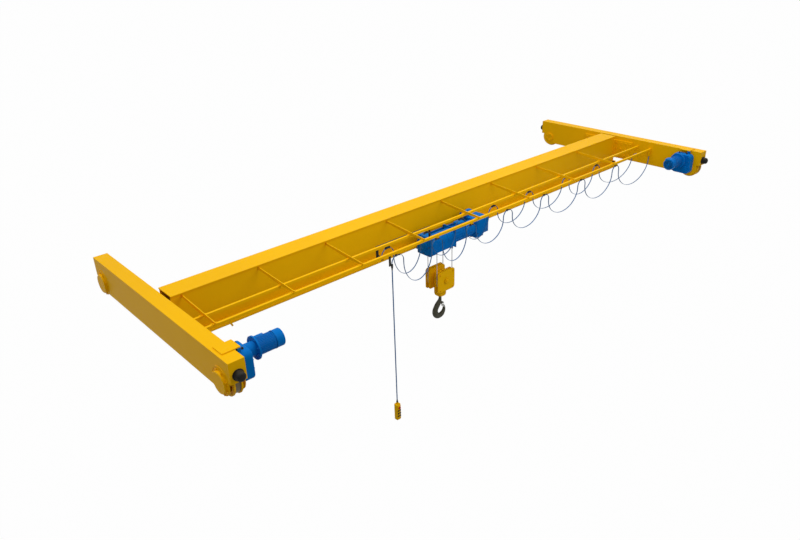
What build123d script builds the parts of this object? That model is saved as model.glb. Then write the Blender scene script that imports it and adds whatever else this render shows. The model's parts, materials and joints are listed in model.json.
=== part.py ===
from build123d import *

import os
from math import dist, radians, tan

# Overhead bridge crane: one box girder between two end carriages, a low-headroom rope hoist beside
# the girder's bottom flange, and two festoon rails in front of it.
# X runs along the girder, Y along the runway, Z up. Z is 0 at the rail top, X is 0 at mid-span and
# Y is 0 midway between the wheels. Millimetres.

# Bridge
span = 9000.0
carriage_width = 176.0
carriage_depth = 404.0
carriage_top = 445.0
carriage_wall = 8.0
wheel_base = 2910.0
carriage_overhang = 195.0
running_clearance = 0.1
seat_gap = 0.3
bore_overrun = 2.0
moving_gap = 5.0

# Wheels
tread_radius = 157.5
tread_width = 66.0
wheel_flange_radius = 172.0
wheel_flange_width = 14.0
wheel_hub_radius = 62.0
wheel_hub_width = 118.0
wheel_rim_depth = 34.0
wheel_web_width = 26.0
axle_radius = 35.0
axle_cap_gap = 6.0

# Wheel housings and bearing caps of the carriages
lobe_radius = 150.0
end_plate_height = 237.0
bulkhead_distance = 195.0
outer_cap_radius = 120.0
outer_cap_depth = 34.0
outer_cap_face = 8.0
outer_cap_edge = 6.0
inner_cap_radius = 78.0
inner_cap_depth = 16.0
housing_ring_radius = 168.0
housing_ring_width = 14.0
housing_ring_depth = 6.0
housing_ring_start = 20.0
housing_ring_turn = 110.0

# Buffers
buffer_drop = 153.0
buffer_base_radius = 56.0
buffer_nose_radius = 52.0
buffer_length = 74.0
buffer_flange_radius = 62.0
buffer_flange_thickness = 10.0
buffer_waist = 3.0
buffer_nose_round = 32.0

# Girder
girder_centre_y = 122.0
girder_top_width = 310.0
girder_depth = 540.0
top_plate_thickness = 10.0
web_thickness = 6.0
web_inset = 20.0
bottom_flange_width = 534.0
bottom_flange_thickness = 20.0
girder_end_plate = 20.0
girder_end_lip = 12.0
joint_drop = 70.0
head_plate_thickness = 22.0
head_plate_width = 1000.0
head_plate_height = 300.0
diaphragm_thickness = 6.0
diaphragm_pitch = 1240.0

# Travel gearmotors
gear_case_width = 320.0
gear_case_height = 330.0
gear_case_corner = 70.0
gear_case_edge = 16.0
gear_case_bottom = 70.0
gear_case_back = 70.0
gear_case_depth = 118.0
gear_case_offset = 12.0
motor_rise = 150.0
motor_back = 78.0
motor_flange_radius = 126.0
motor_flange_thickness = 18.0
motor_neck_radius = 78.0
motor_neck_length = 100.0
motor_radius = 86.0
motor_length = 206.0
fan_cover_radius = 94.0
fan_cover_length = 90.0
torque_plate_thickness = 12.0
torque_plate_length = 175.0
torque_plate_back = 20.0
torque_plate_reach = 62.0
torque_tab_height = 40.0

# Festoon rails and arms
rail_width = 32.0
rail_height = 32.0
rail_wall = 3.0
rail_slot = 16.0
inner_rail_y = -476.0
outer_rail_y = -727.0
rail_drop = 105.0
arm_width = 10.0
arm_web_top = 30.0
arm_web_height = 28.0
arm_tip_top = 78.0
arm_flat_y = -440.0
arm_tip_reach = 20.0
arm_place_shares = (-0.960, -0.738, -0.513, -0.280, -0.040, 0.208, 0.464, 0.722)

# Cable trolleys
roller_block_length = 60.0
roller_block_height = 12.0
roller_side_gap = 1.0
trolley_neck_length = 34.0
trolley_neck_width = 6.0
trolley_neck_drop = 26.0
saddle_radius = 100.0
saddle_thickness = 16.0
saddle_width = 24.0
clamp_bow_radius = 20.0
clamp_length = 50.0
inner_stations = (3112.0, 2242.0, 1290.0, 450.0, -250.0, -931.0, -1627.0)
outer_stations = (3310.0, 2320.0, 1355.0, 485.0, -300.0, -968.0, -1676.0)
inner_clamp_distance = 162.0
outer_clamp_distance = 27.0

# Festoon cables
supply_cable_width = 16.0
supply_cable_thickness = 6.0
inner_loop_depths = (335.0, 295.0, 288.0, 276.0, 315.0, 344.0, 382.0)
outer_loop_depths = (367.0, 336.0, 309.0, 301.0, 294.0, 331.0, 382.0)
loop_shares = (
    (1.00, 0.00),
    (1.00, 0.17),
    (0.95, 0.39),
    (0.81, 0.63),
    (0.56, 0.86),
    (0.20, 1.00),
    (-0.20, 1.00),
    (-0.56, 0.86),
    (-0.81, 0.63),
    (-0.95, 0.39),
    (-1.00, 0.17),
    (-1.00, 0.00),
)
bend_share = 0.45

# Hoist trolley
hoist_left = -800.0
hoist_right = 400.0
trolley_plate_thickness = 10.0
trolley_plate_gap = 7.0
trolley_plate_top = 75.0
trolley_plate_bottom = -165.0
trolley_plate_end_cut = 60.0
trolley_wheel_radius = 62.0
trolley_wheel_width = 42.0
trolley_wheel_gap = 19.0
trolley_wheel_inset = 170.0
trolley_axle_radius = 18.0
cross_beam_width = 70.0
cross_beam_height = 50.0
cross_beam_inset = 120.0

# Hoist machine
hoist_front = -430.0
hoist_top = 127.0
hoist_bottom = -157.0
drum_centre_y = -305.0
drum_centre_z = -15.0
drum_casing_radius = 120.0
drum_casing_left = -668.0
drum_casing_right = -300.0
drum_guide_bottom = -132.0
drum_rib_radius = 124.0
drum_rib_width = 12.0
drum_rib_pitch = 92.0
gear_housing_radius = 30.0
bearing_plate_thickness = 14.0
bearing_plate_foot = 44.0
hoist_motor_radius = 122.0
hoist_motor_right = 140.0
hoist_motor_end_radius = 112.0
hoist_motor_end_length = 60.0
motor_fin_count = 20
motor_fin_height = 6.0
motor_fin_width = 8.0
control_box_radius = 14.0
control_box_notch_width = 110.0
control_box_notch_height = 44.0
trolley_motor_radius = 40.0
trolley_motor_length = 110.0
trolley_case_size = 80.0
trolley_case_depth = 60.0

# Tow arm
tow_arm_size = 20.0
tow_arm_offset = 90.0
fork_tine_width = 10.0
clamp_box_size = 30.0
clamp_box_height = 40.0

# Ropes and hook block
rope_radius = 5.5
rope_fit_gap = 0.5
sheave_radius = 160.0
sheave_groove_radius = 148.0
sheave_width = 40.0
sheave_plane_offset = 92.0
sheave_side_gap = 8.0
block_centre_x = -490.0
block_centre_y = -300.0
block_top = -463.0
cover_width = 340.0
cover_height = 326.0
cover_thickness = 12.0
cover_corner = 42.0
block_half_thickness = 130.0
cheek_width = 120.0
cheek_drop = 60.0
cheek_corner = 36.0
sheave_axle_radius = 25.0
crosshead_bottom = -905.0
crosshead_depth = 124.0
crosshead_height = 96.0

# Hook
hook_shank_radius = 20.0
hook_nut_radius = 38.0
hook_nut_height = 30.0
hook_centre_drop = 245.0
hook_body_radius = 118.0
hook_body_shift = 16.0
hook_body_drop = 18.0
hook_shoulder_height = 172.0
hook_throat_radius = 60.0
hook_section = 60.0
hook_edge = 12.0
hook_tip_height = 40.0
hook_tip_spread = 13.0
hook_tip_nose = 8.0
hook_neck_cut_shares = (0.9, 1.5)
hook_ear_radius = 14.0
hook_ear_width = 40.0
hook_ear_x = 38.0
hook_ear_z = 104.0

# Safety latch
latch_pin_radius = 5.0
latch_cheek = 3.0
latch_cheek_radius = 10.0
latch_thickness = 5.0
latch_tip_x = 62.0
latch_tip_z = 22.0
latch_bridge_start_share = 0.42

# Pendant
pendant_block_length = 90.0
pendant_trolley_distance = 132.0
pendant_bracket_height = 16.0
pendant_cable_diameter = 16.0
pendant_gland_radius = 15.0
pendant_gland_height = 34.0
pendant_cable_bottom = -1955.0
pendant_station_width = 72.0
pendant_station_depth = 66.0
pendant_station_height = 250.0
pendant_station_radius = 14.0

# Worked out from the driving sizes
half_span = span / 2
carriage_length = wheel_base + 2 * carriage_overhang
carriage_inner = half_span - carriage_width / 2
carriage_outer = half_span + carriage_width / 2
carriage_bottom = carriage_top - carriage_depth
axle_y = wheel_base / 2
axle_z = tread_radius
motor_y = motor_back - axle_y
motor_z = axle_z + motor_rise
girder_half_length = carriage_inner - head_plate_thickness - girder_end_plate
girder_length = 2 * girder_half_length
web_outer = girder_top_width / 2 - web_inset
flange_half = bottom_flange_width / 2
flange_top = carriage_top - girder_depth + bottom_flange_thickness
flange_bottom = flange_top - bottom_flange_thickness
flange_front = girder_centre_y - flange_half
flange_back = girder_centre_y + flange_half
web_front = girder_centre_y - web_outer
web_height = girder_depth - top_plate_thickness - bottom_flange_thickness
rail_top = carriage_top - rail_drop
rail_bottom = rail_top - rail_height
sides = {"left": -1, "right": 1}
ends = {"front": -1, "back": 1}
saddle_top = rail_bottom - trolley_neck_drop
saddle_end = saddle_top - saddle_radius
inner_clamp_x = carriage_inner - inner_clamp_distance
outer_clamp_x = carriage_inner - outer_clamp_distance
trolley_plate_front = flange_front - trolley_plate_gap - trolley_plate_thickness
trolley_plate_back = flange_back + trolley_plate_gap
block_centre_z = block_top - cover_height / 2
hook_centre_z = crosshead_bottom - hook_centre_drop
pendant_cable_x = outer_stations[-1] - saddle_radius
pendant_gland_top = saddle_end - moving_gap
arm_places = [share * carriage_inner for share in arm_place_shares]


def across(x, y, z):
    """A sketch plane that faces along X, with its own x along Y."""
    return Plane(origin=(x, y, z), x_dir=(0, 1, 0), z_dir=(1, 0, 0))


def facing_front(x, y, z):
    """A sketch plane that faces the front, with its own x along X and its own y up."""
    return Plane(origin=(x, y, z), x_dir=(1, 0, 0), z_dir=(0, -1, 0))


def level(x, y, z):
    """A level sketch plane that faces up."""
    return Plane(origin=(x, y, z), x_dir=(1, 0, 0), z_dir=(0, 0, 1))


def save(part, name):
    part.label = name
    export_step(part, f"parts/{name}.step")


def girder_top_plate():
    with BuildPart() as plate:
        with BuildSketch(level(0, girder_centre_y, carriage_top - top_plate_thickness)):
            Rectangle(girder_length, girder_top_width)
        extrude(amount=top_plate_thickness)
    return plate.part


def girder_web(face_y):
    """One web, from the bottom flange to the top plate, its front face at face_y."""
    with BuildPart() as web:
        with BuildSketch(facing_front(0, face_y, flange_top + web_height / 2)):
            Rectangle(girder_length, web_height)
        extrude(amount=-web_thickness)
    return web.part


def girder_bottom_flange():
    with BuildPart() as flange:
        with BuildSketch(level(0, girder_centre_y, flange_bottom)):
            Rectangle(girder_length, bottom_flange_width)
        extrude(amount=bottom_flange_thickness)
    return flange.part


def girder_diaphragms():
    """The cross plates inside the box girder, from web to web and from flange to top plate."""
    inner_width = 2 * (web_outer - web_thickness)
    count = int(girder_length / diaphragm_pitch)
    start = -(count - 1) / 2 * diaphragm_pitch
    with BuildPart() as plates:
        for number in range(count):
            place = start + number * diaphragm_pitch
            with BuildSketch(across(place, girder_centre_y, flange_top + web_height / 2)):
                Rectangle(inner_width, web_height)
            extrude(amount=diaphragm_thickness)
    return plates.part


def girder_end_plates():
    """The plates that close the girder's ends, a lip wider than the webs."""
    plate_width = 2 * (web_outer + girder_end_lip)
    plate_height = girder_depth - joint_drop
    with BuildPart() as plates:
        for side in sides.values():
            with BuildSketch(across(side * girder_half_length, girder_centre_y, flange_bottom + plate_height / 2)):
                Rectangle(plate_width, plate_height)
            extrude(amount=side * girder_end_plate)
    return plates.part


def carriage_head_plates():
    """The wide plates on the carriages' inner faces, to which the girder's ends are bolted."""
    with BuildPart() as plates:
        for side in sides.values():
            middle_z = carriage_top - joint_drop - head_plate_height / 2
            with BuildSketch(across(side * carriage_inner, girder_centre_y, middle_z)):
                Rectangle(head_plate_width, head_plate_height)
            extrude(amount=-side * head_plate_thickness)
    return plates.part


def end_carriage(side):
    """A welded box beam on two wheels: side plates with a rounded housing over each wheel, covers,
    end plates, bulkheads, bearing caps and the torque plate of the gearmotor."""
    centre_x = side * half_span
    outer_x = side * carriage_outer
    inner_x = side * carriage_inner
    end_y = carriage_length / 2
    with BuildPart() as frame:
        for face_x, inward in ((outer_x, -side), (inner_x, side)):
            with BuildSketch(across(face_x, 0, 0)):
                with Locations((0, carriage_top - end_plate_height / 2)):
                    Rectangle(carriage_length, end_plate_height)
                with Locations((0, carriage_top - carriage_depth / 2)):
                    Rectangle(wheel_base, carriage_depth)
                with Locations((-axle_y, axle_z), (axle_y, axle_z)):
                    Circle(lobe_radius)
            extrude(amount=inward * carriage_wall)
        inside = carriage_width - 2 * carriage_wall
        with BuildSketch(level(centre_x, 0, carriage_top - carriage_wall)):
            Rectangle(inside, carriage_length)
        extrude(amount=carriage_wall)
        with BuildSketch(level(centre_x, 0, carriage_bottom)):
            Rectangle(inside, wheel_base - 2 * bulkhead_distance)
        extrude(amount=carriage_wall)
        for end in ends.values():
            with BuildSketch(facing_front(centre_x, end * end_y, carriage_top - end_plate_height / 2)):
                Rectangle(inside, end_plate_height)
            extrude(amount=end * carriage_wall)
            bulkhead_y = end * (axle_y - bulkhead_distance)
            with BuildSketch(facing_front(centre_x, bulkhead_y, carriage_top - carriage_depth / 2)):
                Rectangle(inside, carriage_depth)
            extrude(amount=end * carriage_wall)
            with BuildSketch(across(outer_x, end * axle_y, axle_z)):
                Circle(outer_cap_radius)
            extrude(amount=side * outer_cap_depth)
            with BuildSketch(across(inner_x, end * axle_y, axle_z)):
                Circle(inner_cap_radius)
            extrude(amount=-side * inner_cap_depth)
        # The raised edge of each wheel housing, an arc of flat bar round the outer bearing cap.
        middle_radius = housing_ring_radius - housing_ring_width / 2
        for end in ends.values():
            with BuildSketch(across(outer_x, end * axle_y, axle_z)):
                with BuildLine():
                    start = housing_ring_start if end < 0 else 180 - housing_ring_start
                    turn = housing_ring_turn * -end
                    outer_arc = CenterArc((0, 0), housing_ring_radius, start, turn)
                    inner_arc = CenterArc((0, 0), housing_ring_radius - housing_ring_width, start, turn)
                    Line(outer_arc @ 0, inner_arc @ 0)
                    Line(outer_arc @ 1, inner_arc @ 1)
                make_face()
            extrude(amount=side * housing_ring_depth)
        # The torque plate lies on the top cover and reaches over the inner face.
        plate_x0 = side * (carriage_inner - torque_plate_reach)
        plate_x1 = side * (carriage_outer - torque_plate_back * 2)
        plate_y = -axle_y + torque_plate_length / 2 - torque_plate_back
        with BuildSketch(level((plate_x0 + plate_x1) / 2, plate_y, carriage_top)):
            Rectangle(abs(plate_x1 - plate_x0), torque_plate_length)
        extrude(amount=torque_plate_thickness)
        for end in ends.values():
            with BuildSketch(across(outer_x - side * carriage_width, end * axle_y, axle_z)):
                Circle(axle_radius + running_clearance)
            extrude(amount=side * (carriage_width + outer_cap_depth - outer_cap_face), mode=Mode.SUBTRACT)
            with BuildSketch(across(inner_x, end * axle_y, axle_z)):
                Circle(axle_radius + running_clearance)
            extrude(amount=-side * (inner_cap_depth + bore_overrun), mode=Mode.SUBTRACT)
        outer_edges = frame.edges().filter_by(GeomType.CIRCLE)
        rims = [
            edge
            for edge in outer_edges
            if abs(edge.radius - outer_cap_radius) < seat_gap
            and abs(edge.arc_center.X - (outer_x + side * outer_cap_depth)) < seat_gap
        ]
        chamfer(rims, outer_cap_edge)
    return frame.part


def travel_wheel(side, end, driven):
    """A double-flanged wheel with its axle, which turns in the bearing caps."""
    centre_x = side * half_span
    half_tread = tread_width / 2
    half_wheel = half_tread + wheel_flange_width
    rim_inside = tread_radius - wheel_rim_depth
    outer_end = side * (carriage_outer + outer_cap_depth - outer_cap_face - axle_cap_gap)
    reach = inner_cap_depth - axle_cap_gap
    if driven:
        reach = inner_cap_depth + gear_case_offset + gear_case_depth - axle_cap_gap * 2
    inner_end = side * (carriage_inner - reach)
    with BuildPart() as wheel:
        with BuildSketch(facing_front(centre_x, end * axle_y, axle_z)):
            with BuildLine():
                Polyline(
                    (-wheel_hub_width / 2, 0),
                    (-wheel_hub_width / 2, wheel_hub_radius),
                    (-wheel_web_width / 2, wheel_hub_radius),
                    (-wheel_web_width / 2, rim_inside),
                    (-half_wheel, rim_inside),
                    (-half_wheel, wheel_flange_radius),
                    (-half_tread, wheel_flange_radius - seat_gap),
                    (-half_tread, tread_radius),
                    (half_tread, tread_radius),
                    (half_tread, wheel_flange_radius - seat_gap),
                    (half_wheel, wheel_flange_radius),
                    (half_wheel, rim_inside),
                    (wheel_web_width / 2, rim_inside),
                    (wheel_web_width / 2, wheel_hub_radius),
                    (wheel_hub_width / 2, wheel_hub_radius),
                    (wheel_hub_width / 2, 0),
                    close=True,
                )
            make_face()
        revolve(axis=Axis((centre_x, end * axle_y, axle_z), (1, 0, 0)))
        with BuildSketch(across(inner_end, end * axle_y, axle_z)):
            Circle(axle_radius)
        extrude(amount=outer_end - inner_end)
    return wheel.part


def carriage_buffers(side):
    """The two rubber buffers of one carriage, each a waisted drum with a rounded nose on its steel
    base."""
    centre_x = side * half_span
    buffer_z = carriage_top - buffer_drop
    with BuildPart() as buffers:
        for end in ends.values():
            face_y = end * (carriage_length / 2)
            with BuildSketch(facing_front(centre_x, face_y, buffer_z)):
                Circle(buffer_flange_radius)
            extrude(amount=-end * buffer_flange_thickness)
            base_y = face_y + end * buffer_flange_thickness
            tip_y = base_y + end * buffer_length
            waist_radius = (buffer_base_radius + buffer_nose_radius) / 2 - buffer_waist
            with BuildSketch(across(centre_x, 0, buffer_z)):
                with BuildLine():
                    Polyline((tip_y, 0), (base_y, 0), (base_y, buffer_base_radius))
                    ThreePointArc(
                        (base_y, buffer_base_radius),
                        ((base_y + tip_y) / 2, waist_radius),
                        (tip_y, buffer_nose_radius),
                    )
                    Line((tip_y, buffer_nose_radius), (tip_y, 0))
                make_face()
            revolve(axis=Axis((centre_x, 0, buffer_z), (0, 1, 0)))
            noses = [
                edge
                for edge in buffers.edges().filter_by(GeomType.CIRCLE)
                if abs(edge.arc_center.Y - tip_y) < seat_gap and abs(edge.radius - buffer_nose_radius) < seat_gap
            ]
            fillet(noses, buffer_nose_round)
    return buffers.part


def travel_gearcase(side):
    """A rounded gearcase on the driven wheel's axle, with a neck for the motor."""
    back_x = side * (carriage_inner - inner_cap_depth - gear_case_offset)
    front_x = back_x - side * gear_case_depth
    with BuildPart() as case:
        with BuildSketch(across(back_x, gear_case_back - axle_y, gear_case_bottom + gear_case_height / 2)):
            RectangleRounded(gear_case_width, gear_case_height, gear_case_corner)
        extrude(amount=-side * gear_case_depth)
        fillet(case.faces().sort_by(Axis.X)[0 if side > 0 else -1].edges(), gear_case_edge)
        with BuildSketch(across(front_x, motor_y, motor_z)):
            Circle(motor_neck_radius)
        extrude(amount=-side * motor_neck_length)
        # The boss that seats on the carriage's bearing cap.
        with BuildSketch(across(back_x, -axle_y, axle_z)):
            Circle(inner_cap_radius - outer_cap_edge)
        extrude(amount=side * gear_case_offset)
        # The lug under the torque plate.
        with BuildSketch(across(back_x, -axle_y, 0)):
            with Locations((0, (carriage_top + motor_z) / 2)):
                Rectangle(torque_tab_height, carriage_top - motor_z)
        extrude(amount=-side * (torque_plate_reach - inner_cap_depth - gear_case_offset))
        with BuildSketch(across(back_x + side * gear_case_offset, -axle_y, axle_z)):
            Circle(axle_radius + running_clearance)
        extrude(amount=-side * (gear_case_offset + gear_case_depth - axle_cap_gap), mode=Mode.SUBTRACT)
    return case.part


def travel_motor(side):
    """The flanged motor of a travel drive, with its fan cover at the free end."""
    start_x = side * (carriage_inner - inner_cap_depth - gear_case_offset - gear_case_depth - motor_neck_length)
    with BuildPart() as motor:
        with BuildSketch(across(start_x, motor_y, motor_z)):
            Circle(motor_flange_radius)
        extrude(amount=-side * motor_flange_thickness)
        body_x = start_x - side * motor_flange_thickness
        with BuildSketch(across(body_x, motor_y, motor_z)):
            Circle(motor_radius)
        extrude(amount=-side * motor_length)
        cover_x = body_x - side * motor_length
        with BuildSketch(across(cover_x, motor_y, motor_z)):
            Circle(fan_cover_radius)
        extrude(amount=-side * fan_cover_length)
        rim = motor.faces().sort_by(Axis.X)[0 if side > 0 else -1].edges()
        fillet(rim, outer_cap_edge)
    return motor.part


def festoon_rail(rail_y):
    """A C-section track, open below, from one carriage to the other."""
    cavity = rail_width - 2 * rail_wall
    with BuildPart() as rail:
        with BuildSketch(across(-carriage_inner, rail_y, rail_top - rail_height / 2)):
            Rectangle(rail_width, rail_height)
            Rectangle(cavity, rail_height - 2 * rail_wall, mode=Mode.SUBTRACT)
            with Locations((0, -rail_height / 2 + rail_wall / 2)):
                Rectangle(rail_slot, rail_wall + seat_gap, mode=Mode.SUBTRACT)
        extrude(amount=2 * carriage_inner)
    return rail.part


def rail_arms():
    """The brackets that carry both rails from the girder's front web."""
    tip_y = outer_rail_y - rail_width / 2 - arm_tip_reach
    with BuildPart() as arms:
        for place in arm_places:
            with BuildSketch(across(place - arm_width / 2, 0, carriage_top)):
                with BuildLine():
                    Polyline(
                        (web_front, -arm_web_top),
                        (tip_y, -arm_tip_top),
                        (tip_y, -rail_drop),
                        (arm_flat_y, -rail_drop),
                        (web_front, -arm_web_top - arm_web_height),
                        close=True,
                    )
                make_face()
            extrude(amount=arm_width)
    return arms.part


def saddle_bow(place, rail_y):
    """A saddle's half-round bow, with the cable clamped along it."""
    inner_radius = saddle_radius - saddle_thickness / 2
    outer_radius = saddle_radius + saddle_thickness / 2
    with BuildPart() as bow:
        with BuildSketch(facing_front(place, rail_y - saddle_width / 2, saddle_end)):
            with BuildLine():
                inner_arc = CenterArc((0, 0), inner_radius, 0, 180)
                outer_arc = CenterArc((0, 0), outer_radius, 0, 180)
                Line(inner_arc @ 0, outer_arc @ 0)
                Line(inner_arc @ 1, outer_arc @ 1)
            make_face()
        extrude(amount=-saddle_width)
    return bow.part


def cable_trolley(place, rail_y):
    """A roller block on the rail's lips, a neck through its slot and a saddle for the cable."""
    lip_top = rail_bottom + rail_wall + seat_gap
    block_width = rail_width - 2 * (rail_wall + roller_side_gap)
    with BuildPart() as trolley:
        with BuildSketch(level(place, rail_y, lip_top)):
            Rectangle(roller_block_length, block_width)
        extrude(amount=roller_block_height)
        with BuildSketch(level(place, rail_y, saddle_top)):
            Rectangle(trolley_neck_length, trolley_neck_width)
        extrude(amount=lip_top - saddle_top)
        add(saddle_bow(place, rail_y))
    return trolley.part


def festoon_end_clamps():
    """The fixed ends of both festoons: each cable comes level from the carriage and bends down
    through a clamp block that hangs from its rail."""
    bend_z = saddle_end + clamp_bow_radius
    block_bottom = bend_z + saddle_thickness / 2
    with BuildPart() as clamps:
        for rail_y, place in ((inner_rail_y, inner_clamp_x), (outer_rail_y, outer_clamp_x)):
            with BuildSketch(level(place, rail_y, block_bottom)):
                Rectangle(clamp_length, rail_width)
            extrude(amount=rail_bottom - block_bottom)
            inner_radius = clamp_bow_radius - saddle_thickness / 2
            outer_radius = clamp_bow_radius + saddle_thickness / 2
            bend_x = place + clamp_bow_radius
            with BuildSketch(facing_front(bend_x, rail_y - saddle_width / 2, saddle_end)):
                with BuildLine():
                    inner_arc = CenterArc((0, 0), inner_radius, 90, 90)
                    outer_arc = CenterArc((0, 0), outer_radius, 90, 90)
                    Line(inner_arc @ 0, outer_arc @ 0)
                    Line(inner_arc @ 1, outer_arc @ 1)
                make_face()
            extrude(amount=-saddle_width)
            with BuildSketch(level(place, rail_y, bend_z)):
                Rectangle(trolley_neck_length / 2, trolley_neck_width)
            extrude(amount=saddle_thickness)
            with BuildSketch(across(bend_x, rail_y, bend_z)):
                Rectangle(saddle_width, saddle_thickness)
            extrude(amount=carriage_inner - bend_x)
    return clamps.part


def festoon_cable(rail_y, clamp_x, places, depths):
    """The hanging loops of a flat cable, from the clamp to the first saddle and from each saddle's
    end to the next one's."""
    starts = [clamp_x] + [place - saddle_radius for place in places]
    with BuildPart() as cable:
        for start, place, depth in zip(starts, places, depths):
            half_width = (start - place - saddle_radius) / 2
            middle = start - half_width
            points = [
                Vector(middle + out * half_width, rail_y, saddle_end - seat_gap - down * depth)
                for out, down in loop_shares
            ]
            runs = [(after - before).length for before, after in zip(points, points[1:])]
            radii = []
            for number in range(1, len(points) - 1):
                arriving = points[number] - points[number - 1]
                leaving = points[number + 1] - points[number]
                turn = radians(arriving.get_angle(leaving))
                radii.append(bend_share * min(runs[number - 1], runs[number]) / tan(turn / 2))
            with BuildLine() as route:
                FilletPolyline(*points, radius=radii)
            path = route.wire()
            with BuildSketch(level(points[0].X, rail_y, points[0].Z)):
                Rectangle(supply_cable_thickness, supply_cable_width)
            sweep(path=path)
            print(f"loop at {middle:.0f}: length {path.length:.0f}, bends", [round(radius) for radius in radii])
        section = supply_cable_thickness * supply_cable_width
        print(f"volume over section {cable.part.volume / section:.0f}")
    return cable.part


def trolley_plates():
    """The side plates of the hoist's trolley, one beyond each edge of the bottom flange."""
    length = hoist_right - hoist_left
    height = trolley_plate_top - trolley_plate_bottom
    with BuildPart() as plates:
        for face_y in (trolley_plate_front, trolley_plate_back):
            with BuildSketch(facing_front(hoist_left + length / 2, face_y, trolley_plate_bottom + height / 2)):
                plate = Rectangle(length, height)
                chamfer(plate.vertices(), trolley_plate_end_cut)
            extrude(amount=-trolley_plate_thickness)
    return plates.part


def trolley_wheels():
    """Four wheels on the bottom flange, each on a stub axle from its side plate."""
    wheel_z = flange_top + trolley_wheel_radius + seat_gap
    inner_faces = (trolley_plate_front + trolley_plate_thickness, 1), (trolley_plate_back, -1)
    with BuildPart() as wheels:
        for place in (hoist_left + trolley_wheel_inset, hoist_right - trolley_wheel_inset):
            for plate_y, inward in inner_faces:
                with BuildSketch(facing_front(place, plate_y, wheel_z)):
                    Circle(trolley_axle_radius)
                extrude(amount=-inward * trolley_wheel_gap)
                with BuildSketch(facing_front(place, plate_y + inward * trolley_wheel_gap, wheel_z)):
                    Circle(trolley_wheel_radius)
                extrude(amount=-inward * trolley_wheel_width)
    return wheels.part


def trolley_cross_beams():
    """The two beams under the bottom flange that join the trolley's side plates."""
    front_y = trolley_plate_front + trolley_plate_thickness
    with BuildPart() as beams:
        for place in (hoist_left + cross_beam_inset, hoist_right - cross_beam_inset):
            with BuildSketch(facing_front(place, front_y, trolley_plate_bottom + cross_beam_height / 2)):
                Rectangle(cross_beam_width, cross_beam_height)
            extrude(amount=-(trolley_plate_back - front_y))
    return beams.part


def hoist_profile(left):
    """The rectangle that the hoist's housings fill, from its front to the trolley's plate."""
    return across(left, (hoist_front + trolley_plate_front) / 2, (hoist_top + hoist_bottom) / 2)


def hoist_gear_housing():
    """The gear housing at the hoist's left end, rounded along its front edges."""
    with BuildPart() as housing:
        with BuildSketch(hoist_profile(hoist_left)):
            Rectangle(trolley_plate_front - hoist_front, hoist_top - hoist_bottom)
        extrude(amount=drum_casing_left - hoist_left)
        fillet(housing.edges().filter_by(Axis.X).group_by(Axis.Y)[0], gear_housing_radius)
    return housing.part


def hoist_drum_casing():
    """The drum's casing: round above and flat-sided below down to the rope guide, with ribs."""
    depth = drum_centre_z - drum_guide_bottom
    with BuildPart() as casing:
        with BuildSketch(across(drum_casing_left, drum_centre_y, drum_centre_z)):
            Circle(drum_casing_radius)
            with Locations((0, -depth / 2)):
                Rectangle(2 * drum_casing_radius, depth)
        extrude(amount=drum_casing_right - drum_casing_left)
        rib = drum_casing_left + drum_rib_pitch / 2
        while rib + drum_rib_width < drum_casing_right:
            with BuildSketch(across(rib, drum_centre_y, drum_centre_z)):
                Circle(drum_rib_radius)
            extrude(amount=drum_rib_width)
            rib += drum_rib_pitch
    return casing.part


def hoist_bearing_plate():
    """The plate between drum and motor, with a foot that reaches below the housings."""
    width = trolley_plate_front - hoist_front
    height = hoist_top - hoist_bottom
    with BuildPart() as plate:
        with BuildSketch(hoist_profile(drum_casing_right)):
            Rectangle(width, height)
            with Locations((0, -(height + bearing_plate_foot) / 2)):
                Rectangle(width / 2, bearing_plate_foot)
        extrude(amount=bearing_plate_thickness)
    return plate.part


def hoist_motor():
    """The hoisting motor with its cooling fins and end bell."""
    left = drum_casing_right + bearing_plate_thickness
    body_length = hoist_motor_right - left - hoist_motor_end_length
    with BuildPart() as motor:
        with BuildSketch(across(left, drum_centre_y, drum_centre_z)):
            Circle(hoist_motor_radius - motor_fin_height)
            with PolarLocations(hoist_motor_radius - motor_fin_height, motor_fin_count):
                Rectangle(2 * motor_fin_height, motor_fin_width)
        extrude(amount=body_length)
        with BuildSketch(across(left + body_length, drum_centre_y, drum_centre_z)):
            Circle(hoist_motor_end_radius)
        extrude(amount=hoist_motor_end_length)
    return motor.part


def hoist_control_box():
    """The electrical box at the hoist's right end, with a notch in its underside."""
    height = hoist_top - hoist_bottom
    with BuildPart() as box:
        with BuildSketch(hoist_profile(hoist_motor_right)):
            Rectangle(trolley_plate_front - hoist_front, height)
        extrude(amount=hoist_right - hoist_motor_right)
        fillet(box.edges().filter_by(Axis.X).group_by(Axis.Y)[0], control_box_radius)
        notch_x = hoist_right - control_box_notch_width / 2
        with BuildSketch(facing_front(notch_x, hoist_front, hoist_bottom + control_box_notch_height / 2)):
            Rectangle(control_box_notch_width, control_box_notch_height)
        extrude(amount=-(trolley_plate_front - hoist_front), mode=Mode.SUBTRACT)
    return box.part


def trolley_drive():
    """The small gearmotor that drives the trolley, on the front plate's upper edge."""
    place = hoist_right - trolley_wheel_inset
    middle_y = trolley_plate_front + trolley_plate_thickness - trolley_case_depth / 2
    with BuildPart() as drive:
        with BuildSketch(level(place, middle_y, hoist_top)):
            Rectangle(trolley_case_size, trolley_case_depth)
        extrude(amount=trolley_case_size)
        with BuildSketch(across(place + trolley_case_size / 2, middle_y, hoist_top + trolley_case_size / 2)):
            Circle(trolley_motor_radius)
        extrude(amount=-trolley_case_size - trolley_motor_length)
    return drive.part


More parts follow.
